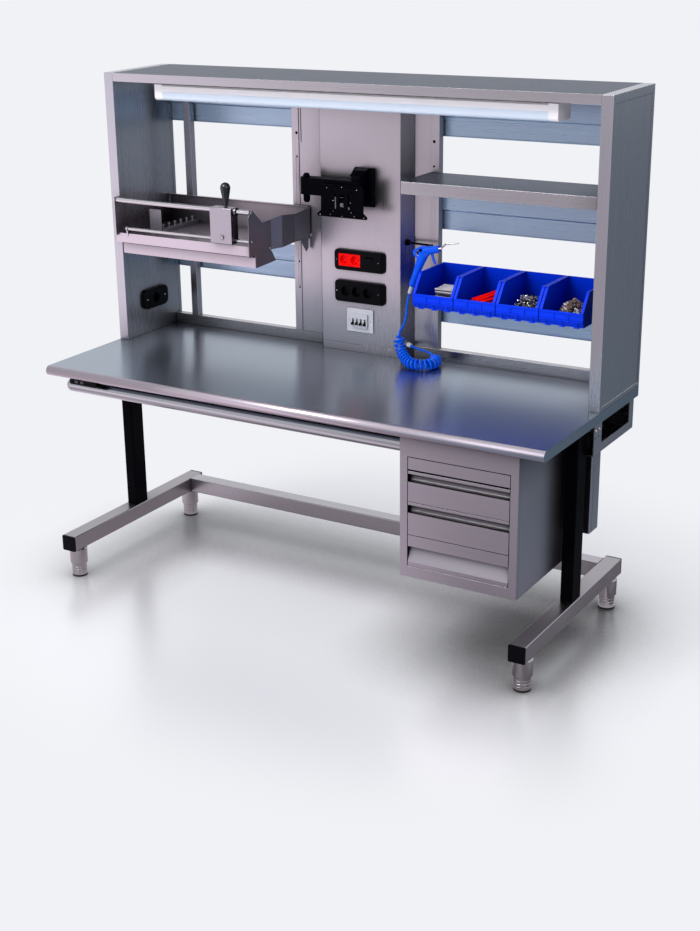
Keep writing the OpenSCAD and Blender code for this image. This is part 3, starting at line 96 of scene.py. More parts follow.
def mm(*v):
    """A point or a size in metres, from millimetres."""
    return Vector(v) / 1000


# Nodes

# Colour sockets of a Mix node, which has sockets for every kind of data
MIX_A, MIX_B, MIX_RESULT = 6, 7, 2


def give(tree, socket, value):
    """Sets an input to a number or colour, or links it to the output of another node."""
    if isinstance(value, bpy.types.NodeSocket):
        tree.links.new(value, socket)
    else:
        socket.default_value = value


def add(tree, kind, **values):
    """A new node; each value is one of its inputs or else one of its settings."""
    node = tree.nodes.new(kind)
    for key, value in values.items():
        if key in node.inputs:
            give(tree, node.inputs[key], value)
        else:
            setattr(node, key, value)
    return node


def rgba(color):
    """A colour with full opacity."""
    return (color[0], color[1], color[2], 1.0)


def calc(tree, operation, *terms, **settings):
    """The result of a Math node; each term is a number or an output."""
    node = add(tree, "ShaderNodeMath", operation=operation, **settings)
    for socket, term in zip(node.inputs, terms):
        give(tree, socket, term)
    return node.outputs["Value"]


def mix_color(tree, factor, low, high, blend_type="MIX"):
    """The colour of a Mix node, from low at factor 0 to high at factor 1."""
    node = add(tree, "ShaderNodeMix", data_type="RGBA", blend_type=blend_type, Factor=factor)
    give(tree, node.inputs[MIX_A], low)
    give(tree, node.inputs[MIX_B], high)
    return node.outputs[MIX_RESULT]


def mix_shader(tree, factor, low, high):
    """The shader from low at factor 0 to high at factor 1."""
    node = add(tree, "ShaderNodeMixShader", Fac=factor)
    tree.links.new(low, node.inputs[1])
    tree.links.new(high, node.inputs[2])
    return node.outputs["Shader"]


def ramp(tree, source, low, high, start, end, interpolation_type="SMOOTHSTEP"):
    """A step: start where source is below low, end where it is above high."""
    node = add(tree, "ShaderNodeMapRange", interpolation_type=interpolation_type, Value=source)
    for key, value in (("From Min", low), ("From Max", high), ("To Min", start), ("To Max", end)):
        node.inputs[key].default_value = value
    return node.outputs["Result"]


def spread_noise(tree, noise, low, high):
    """A value from low to high; a noise stays mostly between 0.3 and 0.7."""
    return ramp(tree, noise.outputs["Fac"], 0.3, 0.7, low, high, "LINEAR")


def painted_shade_factor(tree, reach, power, samples):
    """Painted shade: 1 where nothing stands within reach, and less in nooks; power deepens it."""
    seen = add(tree, "ShaderNodeAmbientOcclusion", Distance=reach, samples=samples)
    return calc(tree, "POWER", seen.outputs["AO"], power)


# Materials

# Painted shade: colour in nooks is darkened by what stands within this distance, in metres, looked
# for by some rays
PAINTED_SHADE_REACH = 0.16
PAINTED_SHADE_SAMPLES = 6
# Depth of the grain in metres, scale of the large patches, and roughness of a clear coat
GRAIN_DEPTH = 0.0005
PATCH_SCALE = 2.3
COAT_ROUGH = 0.08


def scaled(color, k):
    """A lighter or darker tone of a colour."""
    return rgba([min(1, v * k) for v in color])


def surface(name, color, rough, grain, grain_rough, grain_bump, tint, blotch=0.0, metal=0.0,
            coat=0.0, shine=0.5, worn=0.0, corner=0.0):
    """A procedural surface.

    grain is the noise scale along X, Y and Z in object space. grain_rough, grain_bump and tint say
    how much that noise changes the roughness, the height and the tone, and blotch how much large
    patches change the roughness. shine is the strength of a plastic's or paint's gloss, worn the
    lighter tone of rubbed patches, and corner the strength of a painted shade that darkens the
    colour in nooks.
    """
    m = bpy.data.materials.new(name)
    m.use_nodes = True
    t = m.node_tree
    place = add(t, "ShaderNodeTexCoord").outputs["Object"]
    turned_place = add(t, "ShaderNodeMapping", Vector=place, Scale=grain).outputs["Vector"]
    fine = add(t, "ShaderNodeTexNoise", Vector=turned_place, Scale=1.0, Detail=4.0, Roughness=0.6)
    big = add(t, "ShaderNodeTexNoise", Vector=place, Scale=PATCH_SCALE, Detail=3.0)

    tone = mix_color(t, fine.outputs["Fac"], scaled(color, 1 - tint), scaled(color, 1 + tint))
    if worn:
        rubbed = rgba([min(1, v + worn) for v in color])
        tone = mix_color(t, spread_noise(t, big, -0.6, 1.0), tone, rubbed)
    # Painted shade: the colour darkens in nooks, where other parts stand close
    if corner:
        painted_nook_shade = painted_shade_factor(t, PAINTED_SHADE_REACH, corner, PAINTED_SHADE_SAMPLES)
        tone = mix_color(t, 1.0, tone, painted_nook_shade, "MULTIPLY")

    rough_now = spread_noise(t, fine, rough - grain_rough, rough + grain_rough)
    bump = add(t, "ShaderNodeBump", Strength=grain_bump, Distance=GRAIN_DEPTH,
               Height=fine.outputs["Fac"])
    shader = t.nodes["Principled BSDF"]
    for key, value in (
            ("Base Color", tone),
            ("Metallic", metal),
            ("Roughness", calc(t, "MULTIPLY_ADD", big.outputs["Fac"], blotch, rough_now)),
            ("Coat Weight", coat),
            ("Coat Roughness", COAT_ROUGH),
            ("Specular IOR Level", shine),
            ("Normal", bump.outputs["Normal"])):
        give(t, shader.inputs[key], value)
    return m


def steel(name, color, rough, grain, grain_rough=0.02, grain_bump=0.003, tint=0.03, blotch=0.0,
          corner=0.0):
    """Bare steel; grain gives the way it is brushed."""
    return surface(name, color, rough, grain, grain_rough, grain_bump, tint, blotch, metal=1.0,
                   corner=corner)


def brush_along(material, direction, strength):
    """Draws reflections out across the brushing lines."""
    t = material.node_tree
    way = add(t, "ShaderNodeCombineXYZ", X=direction[0], Y=direction[1], Z=direction[2])
    shader = t.nodes["Principled BSDF"]
    give(t, shader.inputs["Anisotropic"], strength)
    give(t, shader.inputs["Tangent"], way.outputs["Vector"])


# Grain: brushed along an axis, or fine all over
ALONG_X, ALONG_Y, ALONG_Z = (1.2, 95, 95), (95, 1.2, 95), (95, 95, 1.2)
FINE = (900, 900, 900)

# Steel; corner sets how strongly painted shade darkens its nooks
top_steel = steel("worktop steel", (0.33, 0.385, 0.455), 0.21, (2, 600, 600),
                  grain_rough=0.03, blotch=0.05, corner=0.7)
brush_along(top_steel, BACK, 0.7)
# Lighter copy of the worktop steel for its front edge: a painted highlight
nose_highlight_steel = steel("worktop nose steel", (0.54, 0.48, 0.54), 0.31, ALONG_X,
                   blotch=0.05, corner=0.3)
roof_steel = steel("canopy and shelf steel", (0.47, 0.46, 0.49), 0.24, ALONG_X,
                   blotch=0.06, corner=1.0)
# Dark specular tint: painted shade that dims the canopy's and shelf's reflections at grazing
# angles
roof_shader = roof_steel.node_tree.nodes["Principled BSDF"]
roof_shader.inputs["Specular Tint"].default_value = rgba((0.26, 0.29, 0.33))
steel_x = steel("steel brushed along X", (0.465, 0.45, 0.48), 0.24, ALONG_X,
                blotch=0.06, corner=1.0)
steel_y = steel("steel brushed along Y", (0.38, 0.36, 0.38), 0.26, ALONG_Y,
                blotch=0.06, corner=1.0)
steel_z = steel("steel brushed along Z", (0.49, 0.46, 0.50), 0.25, ALONG_Z,
                grain_rough=0.012, grain_bump=0.001, tint=0.02, blotch=0.06, corner=0.7)
cheek_steel = steel("steel of the cheeks", (0.45, 0.45, 0.49), 0.25, ALONG_Z,
                    grain_rough=0.015, grain_bump=0.001, tint=0.015, blotch=0.06, corner=0.9)
cabinet_steel = steel("cabinet steel", (0.42, 0.395, 0.44), 0.33, ALONG_X,
                      blotch=0.06, corner=2.2)
tray_steel = steel("steel of the cutter's tray", (0.54, 0.49, 0.54), 0.26, ALONG_X,
                   blotch=0.06, corner=1.6)
# Darker copy of the steel: painted shade for parts that stand in shadow
shaded_steel = steel("shaded steel", (0.27, 0.26, 0.29), 0.45, ALONG_Z,
                   grain_rough=0.03, grain_bump=0.01)
polished = steel("polished steel", (0.60, 0.57, 0.60), 0.12, (1.5, 200, 200),
                 grain_rough=0.03, grain_bump=0.01, tint=0.02)
rail_steel = steel("front rail steel", (0.40, 0.40, 0.43), 0.20, ALONG_X,
                   grain_rough=0.03, grain_bump=0.02)
turned = steel("turned steel of the feet", (0.40, 0.39, 0.40), 0.17, (8, 8, 900),
               grain_rough=0.05, grain_bump=0.10, tint=0.04)
screw_steel = steel("screw steel", (0.55, 0.54, 0.55), 0.25, FINE,
                    grain_rough=0.05, grain_bump=0.05, tint=0.04)

# Part metal: the painted rails and the brown fittings
rail_paint = surface("blue-grey rail", (0.36, 0.47, 0.61), 0.30, ALONG_X, 0.05, 0.04, 0.04,
                     metal=0.7)
oxide = surface("brass and brown fittings", (0.26, 0.19, 0.15), 0.4, FINE, 0.08, 0.2, 0.25, 0.1,
                metal=0.8)

# Black
black_coat = surface("black powder coat", (0.0009, 0.0009, 0.0022), 0.40, FINE,
                     0.06, 0.20, 0.2, 0.05, shine=0.02, worn=0.0006)
black_plastic = surface("black plastic", (0.0014, 0.0014, 0.0024), 0.30, FINE,
                        0.05, 0.08, 0.2, 0.04, shine=0.06, worn=0.001)
knob_plastic = surface("glossy black knob", (0.0015, 0.0015, 0.002), 0.12, FINE,
                       0.03, 0.02, 0.2, 0.03, coat=0.3)
rubber = surface("black rubber", (0.012, 0.012, 0.012), 0.8, FINE,
                 0.05, 0.3, 0.2, shine=0.2, worn=0.006)

# White and grey
white_coat = surface("white coat", (0.86, 0.82, 0.86), 0.4, FINE, 0.04, 0.06, 0.02, 0.05)
white_plastic = surface("white plastic", (0.50, 0.51, 0.56), 0.34, FINE, 0.04, 0.04, 0.02, 0.05)
grey_plastic = surface("grey plastic", (0.38, 0.38, 0.42), 0.36, FINE, 0.04, 0.05, 0.03, 0.05)
frosted = surface("frosted diffuser", (0.60, 0.68, 0.80), 0.32, ALONG_X, 0.03, 0.03, 0.02, 0.04)

# Red, blue and the board
red_gloss = surface("red plastic", (0.86, 0.0015, 0.001), 0.25, FINE,
                    0.04, 0.04, 0.05, 0.04, shine=0.08)
bin_plastic = surface("royal blue plastic", (0.0004, 0.040, 0.82), 0.36, (60, 60, 60),
                      0.05, 0.05, 0.06, 0.05, shine=0.05, worn=0.004, corner=0.45)
gun_blue = surface("blue coat", (0.0005, 0.085, 0.80), 0.28, FINE,
                   0.04, 0.06, 0.05, 0.04, shine=0.12)
hose_blue = surface("blue hose", (0.001, 0.11, 0.80), 0.22, (400, 400, 400),
                    0.03, 0.03, 0.05, shine=0.12)
board = surface("board", (0.45, 0.32, 0.2), 0.8, (40, 300, 40), 0.05, 0.3, 0.15)

PAINT = {
    top_steel: "worktop",
    roof_steel: "canopy shelf",
    steel_x: "rear_cross_beam sill_rails",
    steel_y: "foot_beams",
    steel_z: "uprights filler_panels tower_shell side_brackets service_box",
    cheek_steel: "cheek_left cheek_right",
    cabinet_steel: "cutter_carriage cabinet_shell drawer_1 drawer_2 drawer_3 drawer_4",
    tray_steel: "cutter_tray",
    shaded_steel: "pin_rail cutter_end_plate tube_brackets",
    polished: "cutter_rods gun_nozzle",
    rail_steel: "front_tube cable_tray",
    turned: "levelling_feet",
    rail_paint: "hanging_rails",
    black_coat: "column_outers column_inners arm_bracket arm_link_inner arm_link_outer"
                " arm_head vesa_plate gun_hook",
    black_plastic: "beam_end_caps hand_control socket_units rocker_switch breaker_toggles"
                   " cheek_socket",
    knob_plastic: "carriage_knob up_button down_button",
    rubber: "foot_pads",
    white_coat: "lamp_housing lamp_end_caps",
    white_plastic: "breaker_plate hose_fittings",
    frosted: "lamp_diffuser",
    red_gloss: "red_sockets",
    bin_plastic: "storage_bins",
    gun_blue: "gun_body gun_trigger",
    hose_blue: "hose_upper hose_coil hose_tail",
    board: "worktop_core",
}
for material, names in PAINT.items():
    for name in names.split():
        data = NODES[name].data
        data.materials.clear()
        data.materials.append(material)


# Round edges

# Points closer than this are one, in metres, and a bend sharper than this many degrees is an edge
SAME_POINT = 0.00002
SHARP_BEND = 40


def soften(name, width):
    """Small round edges on a frame node, so that its folds catch the light."""
    o = NODES[name]
    weld = o.modifiers.new("weld", "WELD")
    weld.merge_threshold = SAME_POINT
    bevel = o.modifiers.new("bevel", "BEVEL")
    bevel.width = width
    bevel.segments = 2
    bevel.limit_method = "ANGLE"
    bevel.angle_limit = math.radians(SHARP_BEND)
    bevel.harden_normals = True


# Width of the round edges, in millimetres
EDGES = {
    1.2: "cabinet_shell cheek_left cheek_right tower_shell shelf foot_beams rear_cross_beam",
    1.0: "uprights cutter_carriage sill_rails beam_end_caps column_outers socket_units",
    0.9: "canopy",
    0.6: "drawer_1 drawer_2 drawer_3 drawer_4 filler_panels breaker_plate red_sockets vesa_plate",
    1.5: "arm_bracket arm_link_outer arm_link_inner hand_control lamp_end_caps",
    0.8: "storage_bins",
    3.0: "gun_body",
}
for width, names in EDGES.items():
    for name in names.split():
        soften(name, width / 1000)


# Camera, fitted to the photograph

# Place in metres, angles in radians, and width of the sensor in millimetres
CAMERA_AT = Vector((2.771036, -4.515799, 2.416465))
YAW, PITCH, ROLL = 0.573, -0.347, -0.023
SENSOR = 36
# Height of the photograph, focal length and sideways shift of the picture, in pixels
PHOTO_PX = 931
FOCAL_PX = 1538.781
SHIFT_PX = 50


def camera_place():
    """The camera's matrix from its yaw, pitch and roll."""
    ahead = Vector((-math.sin(YAW) * math.cos(PITCH), math.cos(YAW) * math.cos(PITCH),
                    math.sin(PITCH)))
    level = ahead.cross(Vector(UP)).normalized()
    above = level.cross(ahead)
    right = math.cos(ROLL) * level + math.sin(ROLL) * above
    up = math.cos(ROLL) * above - math.sin(ROLL) * level
    place = Matrix((right, up, -ahead)).transposed().to_4x4()
    place.translation = CAMERA_AT
    return place


camera = bpy.data.objects.new("camera", bpy.data.cameras.new("camera"))
SCENE.collection.objects.link(camera)
camera.matrix_world = camera_place()
camera.data.sensor_width = SENSOR
camera.data.lens = FOCAL_PX / PHOTO_PX * SENSOR
camera.data.shift_x = SHIFT_PX / PHOTO_PX
camera.data.clip_end = 100
SCENE.camera = camera


# Air hose: the same route as its solids, from the gun to the service column

# Radius of the hose and of its coil, and points in a turn
HOSE_R = 4.0
COIL_R = 17.0
PER_CURL = 24
# Turns of the coil, and how many of them it lies straight and then grows in at each end
TURNS = 21.25
COIL_LEAD = 2 / 8
COIL_GROWTH = 7 / 8

GRIP_WAY = (GRIP_END - GRIP_TOP).normalized()
FACE_WAY = Vector((47, -32, 0)).normalized()
GUN_PORT = GRIP_END + 24 * GRIP_WAY
WALL_PORT = Vector((126.2, 344.2, TOP + 48)) + 22 * FACE_WAY
COIL_START = (138, 253, 950)
COIL_END = (248, 304, 865)
UPPER_ROUTE = (
    GUN_PORT, GUN_PORT + 10 * GRIP_WAY, (172, 256, 1082), (168, 256, 1055), (164, 256, 1020),
    (156, 255, 990), (146, 255, 974), (140, 254, 962), COIL_START)
COIL_ROUTE = (
    COIL_START, (137, 252, 938), (140, 249, 920), (149, 243, 900), (166, 232, 881),
    (190, 216, 868), (218, 204, 862.5), (246, 203, 862.5), (270, 217, 862.5),
    (282, 242, 862.5), (280, 270, 862.5), (266, 293, 863), COIL_END)
TAIL_ROUTE = (
    COIL_END, (243, 315.5, 866.5), (230, 323, 872), (205, 322, 880), (178, 315, 886),
    WALL_PORT + 10 * FACE_WAY, WALL_PORT)


def spline(route, steps):
    """Catmull-Rom curve in metres through a route in millimetres, with steps points a stretch."""
    points = [Vector(p) / 1000 for p in route]
    out = []
    last = len(points) - 1
    for i in range(last):
        a, b = points[max(i - 1, 0)], points[i]
        c, d = points[i + 1], points[min(i + 2, last)]
        for k in range(steps):
            u = k / steps
            out.append(0.5 * (2 * b + (c - a) * u + (2 * a - 5 * b + 4 * c - d) * u * u
                              + (3 * b - a - 3 * c + d) * u ** 3))
    return out + [points[last]]


def even(points, count):
    """Points at equal steps along the line."""
    way = [0.0]
    for a, b in zip(points, points[1:]):
        way.append(way[-1] + (b - a).length)
    out = []
    at = 0
    for i in range(count + 1):
        t = way[-1] * i / count
        while at < len(points) - 2 and way[at + 1] < t:
            at += 1
        u = (t - way[at]) / (way[at + 1] - way[at])
        out.append(points[at].lerp(points[at + 1], min(u, 1.0)))
    return out


def heading(points, i):
    """The way the line runs at one of its points."""
    return (points[min(i + 1, len(points) - 1)] - points[max(i - 1, 0)]).normalized()


def wound(line):
    """The coil: a helix round the line, its radius growing from nothing at each end."""
    out = []
    side = Vector((0.3, 0.9, 0.2))
    whole = (len(line) - 1) / PER_CURL
    for i, p in enumerate(line):
        ahead = heading(line, i)
        side = (side - side.dot(ahead) * ahead).normalized()
        curl = i / PER_CURL
        grown = min(curl - COIL_LEAD, whole - COIL_LEAD - curl) / COIL_GROWTH
        r = COIL_R / 1000 * min(1, max(0, grown))
        a = 2 * math.pi * curl
        out.append(p + r * (math.cos(a) * side + math.sin(a) * ahead.cross(side)))
    return out


def hose_line():
    """The whole hose as points in metres: free stretch, coil, free stretch."""
    upper = even(spline(UPPER_ROUTE, 6), 36)
    coil = wound(even(spline(COIL_ROUTE, 8), round(TURNS * PER_CURL)))
    tail = even(spline(TAIL_ROUTE, 6), 28)
    return upper[:-1] + coil[:-1] + tail


def tube_curve(name, points, radius, material):
    """A round tube along the points."""
    c = bpy.data.curves.new(name, "CURVE")
    c.dimensions = "3D"
    c.bevel_depth = radius
    c.bevel_resolution = 4
    c.use_fill_caps = True
    s = c.splines.new("POLY")
    s.points.add(len(points) - 1)
    for i, p in enumerate(points):
        s.points[i].co = (p.x, p.y, p.z, 1)
    s.use_smooth = True
    o = bpy.data.objects.new(name, c)
    SCENE.collection.objects.link(o)
    c.materials.append(material)
    return o


hose_path = hose_line()
air_hose = tube_curve("air_hose", hose_path, HOSE_R / 1000, hose_blue)
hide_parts("hose_upper", "hose_coil", "hose_tail")
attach(air_hose, "desk")


# Making pieces, from places and sizes in millimetres

def finish_mesh(name, bm, material, smooth=False):
    """Turns a bmesh into an object at the origin, its place in its vertices."""
    me = bpy.data.meshes.new(name)
    for f in bm.faces:
        f.smooth = smooth
    bm.to_mesh(me)
    bm.free()
    me.materials.append(material)
    o = bpy.data.objects.new(name, me)
    SCENE.collection.objects.link(o)
    return o


def piece(name, bm, material, body, smooth=False):
    """Finishes a piece that rides on a body."""
    bmesh.ops.recalc_face_normals(bm, faces=bm.faces)
    o = finish_mesh(name, bm, material, smooth)
    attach(o, body)


def turned_to(axis):
    """The rotation that brings the Z axis to another axis."""
    return Vector(UP).rotation_difference(Vector(axis)).to_matrix().to_4x4()


def block(bm, middle, size):
    """Adds a block and gives its vertices."""
    made = bmesh.ops.create_cube(bm, size=1.0)["verts"]
    bmesh.ops.scale(bm, vec=mm(*size), verts=made)
    bmesh.ops.translate(bm, vec=mm(*middle), verts=made)
    return made


def round_bar(bm, a, b, r1, r2=None, sides=20):
    """A closed round bar or cone from a to b."""
    a, b = mm(*a), mm(*b)
    r2 = r1 if r2 is None else r2
    bmesh.ops.create_cone(bm, cap_ends=True, segments=sides, radius1=r1 / 1000,
                          radius2=r2 / 1000, depth=(b - a).length,
                          matrix=Matrix.Translation((a + b) / 2) @ turned_to(b - a))


def bevel_all(bm, width):
    """A small flat bevel on every edge."""
    bmesh.ops.bevel(bm, geom=list(bm.edges), offset=width / 1000, segments=1, profile=0.5,
                    affect="EDGES", material=-1)


def loft(bm, rings):
    """Bridges each ring of edges to the next one."""
    for a, b in zip(rings, rings[1:]):
        bmesh.ops.bridge_loops(bm, edges=a + b)


def screw_head(bm, at, axis, r, h):
    """A low domed head with a round recess in its top."""
    r, h = r / 1000, h / 1000
    head = bmesh.ops.create_cone(bm, cap_ends=True, segments=16, radius1=r, radius2=r * 0.72,
                                 depth=h)["verts"]
    top = [f for v in head for f in v.link_faces if abs(f.normal.z - 1) < 1e-4]
    top = list(dict.fromkeys(top))
    inner = bmesh.ops.inset_region(bm, faces=top, thickness=r * 0.36, depth=0)["faces"]
    bmesh.ops.translate(bm, verts=top[0].verts, vec=(0, 0, -h * 0.45))
    verts = list({v for f in inner + top for v in f.verts} | set(head))
    place = Matrix.Translation(mm(*at) + Vector(axis) * h / 2) @ turned_to(axis)
    bmesh.ops.transform(bm, verts=verts, matrix=place)


def screws(name, rows, body="desk"):
    """One piece from rows of place, axis, radius and height."""
    bm = bmesh.new()
    for row in rows:
        screw_head(bm, *row)
    piece(name, bm, screw_steel, body)


def alike(places, axis, r, h):
    """Rows for screws of one kind at several places."""
    return [(at, axis, r, h) for at in places]


# Screws

# Faces that the screws sit on, and the middle of the socket on the left cheek
UNIT_SCREW_Y = TOWER_FRONT - 10
PLATE_SCREW_Y = TOWER_FRONT - 5
COLUMN_BACK_Y = 401
CABINET_BACK_Y = 181.2
CHEEK_SOCKET_AT = (-949.5, 224.5, TOP + 135)
CHEEK_SCREW_OUT = 56
# Left and right hanging rails: heights of their screws over the worktop, and places along X
LEFT_RAILS = ((315, 892), (-940, -864, -372))
RIGHT_RAILS = ((221, 565, 895), (230, 864, 940))

screws("socket_unit_screws", alike([
    (x, UNIT_SCREW_Y, z) for z in (LOWER_UNIT_Z, UPPER_UNIT_Z) for x in (-157, 21)],
    FRONT, 1.9, 0.9))
screws("breaker_plate_screws", alike([
    (BREAKER_X + out, PLATE_SCREW_Y, BREAKER_Z) for out in (-47, 47)], FRONT, 2.4, 1.0))
screws("cheek_socket_screws", alike([
    (CHEEK_SOCKET_AT[0], CHEEK_SOCKET_AT[1] + out, CHEEK_SOCKET_AT[2])
    for out in (-CHEEK_SCREW_OUT, CHEEK_SCREW_OUT)], RIGHT, 3.0, 1.2))
screws("end_plate_screws", [
    ((END_PLATE_X + 2, ROD_Y, LOW_ROD_Z), RIGHT, 5, 2.2),
    ((END_PLATE_X + 2, ROD_Y, HIGH_ROD_Z), RIGHT, 6, 2.2),
    ((END_PLATE_X + 2, 140, TOP + 405), RIGHT, 4, 1.8)])
screws("rail_screws", alike([
    (x, RAILS_BACK, TOP + up) for ups, xs in (LEFT_RAILS, RIGHT_RAILS) for up in ups for x in xs],
    BACK, 4, 1.8))
screws("column_back_screws", alike([
    (x, COLUMN_BACK_Y, z) for x in (-240, 120) for z in (900, 1180, 1460, 1800)], BACK, 4, 1.8))
screws("cabinet_back_screws", alike([
    (x, CABINET_BACK_Y, z) for x in (500, 881) for z in (330, 640)], BACK, 4, 1.8))
screws("bracket_screws", [
    ((side * 982, y, TOP - 70), (side, 0, 0), 5, 2.5) for side in (-1, 1) for y in (70, 100)])


# Sockets and breakers

# Radius of a pin or contact
PIN_R = 1.6


def socket_contacts():
    """Side contacts in the wells of the lower unit, and the pins of both units, in black: painted
    shade, as they sit deep in the dark wells.
    """
    bm = bmesh.new()

    def pin(x, z, back, front):
        round_bar(bm, (x, TOWER_FRONT + back, z), (x, TOWER_FRONT + front, z), PIN_R, sides=12)

    for x in LOWER_WELLS:
        pin(x, LOWER_UNIT_Z - 10.5, 5, -7)
        for side in (-1, 1):
            pin(x + side * 9.5, LOWER_UNIT_Z, 11, 7)
    for x in UPPER_WELLS:
        pin(x, UPPER_UNIT_Z - 10, 1, -5)
    # Black coat on metal contacts: painted shade of the wells
    piece("socket_contacts", bm, black_coat, "desk", True)


def breaker_joints():
    """Grey joints between the four breakers."""
    bm = bmesh.new()
    for i in (-1, 0, 1):
        block(bm, (BREAKER_X + i * BREAKER_W, TOWER_FRONT - 13, BREAKER_Z), (1.0, 0.8, 51.6))
    bevel_all(bm, 0.2)
    piece("breaker_joints", bm, grey_plastic, "desk")


socket_contacts()
breaker_joints()


# Monitor arm

# Middle of the monitor plate's front
PLATE_AT = (-81, 222, 1423)
# Screws of the plate, counted from its middle along X and Z
PLATE_SCREWS = ((0, 52), (-62, 46), (62, 46), (-36, 2), (36, -2), (0, -53), (-92, -52), (92, -52))


def arm_highlight_strip():
    """Thin bright steel strip between the two links of the monitor arm: a painted highlight along
    their seam.
    """
    bm = bmesh.new()
    block(bm, (-166.5, 243.1, 1462.6), (77, 1.4, 1.2))
    bevel_all(bm, 0.3)
    piece("arm_highlight_strip", bm, screw_steel, "arm_outer")


arm_highlight_strip()
screws("arm_plate_screws", alike([
    (PLATE_AT[0] + x, PLATE_AT[1], PLATE_AT[2] + z) for x, z in PLATE_SCREWS], FRONT, 1.9, 0.9),
    "monitor_plate")


# Air gun and worktop edge

def gun_collar():
    """White collar where the hose leaves the grip."""
    bm = bmesh.new()
    round_bar(bm, GUN_PORT - 4 * GRIP_WAY, GUN_PORT + 10 * GRIP_WAY, 7.5, 7.0, 24)
    piece("gun_collar", bm, white_plastic, "desk")


def worktop_nose_highlight():
    """Bright skin on the half-round front edge of the worktop: a painted highlight, in a lighter
    copy of the worktop's steel.
    """
    bm = bmesh.new()
    ends = [bm.verts.new(mm(x, NOSE_Y, NOSE_Z + NOSE_R)) for x in (-NOSE_HALF, NOSE_HALF)]
    edge = bm.edges.new(ends)
    bmesh.ops.spin(bm, geom=[edge] + ends, cent=mm(0, NOSE_Y, NOSE_Z), axis=RIGHT,
                   dvec=(0, 0, 0), angle=math.pi, steps=20)
    bmesh.ops.solidify(bm, geom=bm.faces[:], thickness=-NOSE_HIGHLIGHT_SKIN / 1000)
    piece("worktop_nose_highlight", bm, nose_highlight_steel, "desk", True)


# Sections of the grip from the hose to the head: share of its length, half width, half depth
GRIP_SECTIONS = (
    (0.0, 10.8, 11), (0.06, 12.2, 12), (0.3, 13.0, 12.6), (0.5, 14.2, 13), (0.68, 16.5, 13.6),
    (0.84, 19.5, 14.4), (0.94, 19.0, 14.6), (1.0, 13.0, 11.5))
GRIP_LOW, GRIP_HIGH = Vector((187.5, 256, 1136)), Vector((240, 256, 1272))


def gun_shell():
    """Full moulded grip of the air gun: oval sections, widest under the head."""
    bm = bmesh.new()
    way = (GRIP_HIGH - GRIP_LOW).normalized()
    lean = way.cross(Vector(BACK)).normalized()
    rings = []
    for share, wide, deep in GRIP_SECTIONS:
        made = bmesh.ops.create_circle(bm, cap_ends=False, radius=1.0, segments=28)["verts"]
        basis = Matrix((lean * wide / 1000, Vector(BACK) * deep / 1000, way)).transposed()
        place = Matrix.Translation(GRIP_LOW.lerp(GRIP_HIGH, share) / 1000) @ basis.to_4x4()
        bmesh.ops.transform(bm, verts=made, matrix=place)
        rings.append(list({e for v in made for e in v.link_edges}))
    loft(bm, rings)
    for end in (rings[0], rings[-1]):
        bmesh.ops.edgeloop_fill(bm, edges=end)
    piece("gun_shell", bm, gun_blue, "desk", True)


RING_AT = (230, 256, 1262)
RING_LEAN = math.radians(-14)
# Ovals of the ring and of its liner: half width, half height, place along Y
RING_OVALS = (
    (33, 21, -9), (29, 18, -12), (25, 14, -12), (22, 12, -9),
    (22, 12, 9), (25, 14, 12), (29, 18, 12), (33, 21, 9))
LINER_OVALS = ((22.2, 12.2, -12.6), (20, 10, -12.6), (20, 10, 12.6), (22.2, 12.2, 12.6))


def oval(bm, wide, high, y):
    """One oval round the gun's loop, as its edges."""
    made = bmesh.ops.create_circle(bm, cap_ends=False, radius=1.0, segments=40,
                                   matrix=Matrix.Rotation(math.pi / 2, 4, "X"))["verts"]
    bmesh.ops.scale(bm, vec=(wide / 1000, 1, high / 1000), verts=made)
    place = Matrix.Translation(mm(RING_AT[0], RING_AT[1] + y, RING_AT[2]))
    bmesh.ops.transform(bm, verts=made, matrix=place @ Matrix.Rotation(RING_LEAN, 4, "Y"))
    return list({e for v in made for e in v.link_edges})


def gun_ring(name, ovals, material):
    """A closed ring round the loop that hangs on the peg."""
    bm = bmesh.new()
    rings = [oval(bm, *row) for row in ovals]
    loft(bm, rings + rings[:1])
    piece(name, bm, material, "desk", True)


def post_slot_shade():
    """Black strip between the left perforated upright and the filler panel: painted shade standing
    in for the dark of the gap there.
    """
    bm = bmesh.new()
    block(bm, (-340.6, 366.1, 1666), (3.4, 0.5, 128))
    bevel_all(bm, 0.1)
    piece("post_slot_shade", bm, black_coat, "desk")


gun_collar()
worktop_nose_highlight()
gun_shell()
gun_ring("gun_ring", RING_OVALS, gun_blue)
gun_ring("gun_liner", LINER_OVALS, shaded_steel)
post_slot_shade()


# Bins and the goods in them

goods = random.Random(7)
BARS, BARS_IN_LAYER = 40, 5
BAR_SIZE = (70, 12.5, 6.4)
SCREWS, FITTINGS = 520, 330
# Middle of the heaps, from the left side and the front of a bin
SCREW_HEAP = (96, 66)
FITTING_HEAP = (96, 64)


def bin_ledges():
    """Ledge and feet ribs across the front of each bin."""
    bm = bmesh.new()
    ribs = [((x, -1.6, BIN_FLOOR + 9), (5, 4.2, 17)) for x in (22, 78.5, 135)]
    for i in range(BINS):
        for at, size in [((78.5, -2, BIN_FLOOR + 18), (154, 5, 3.2))] + ribs:
            block(bm, (BIN_X + i * BIN_PITCH + at[0], BIN_FRONT + at[1], at[2]), size)
    bevel_all(bm, 0.7)
    piece("bin_ledges", bm, bin_plastic, "desk")


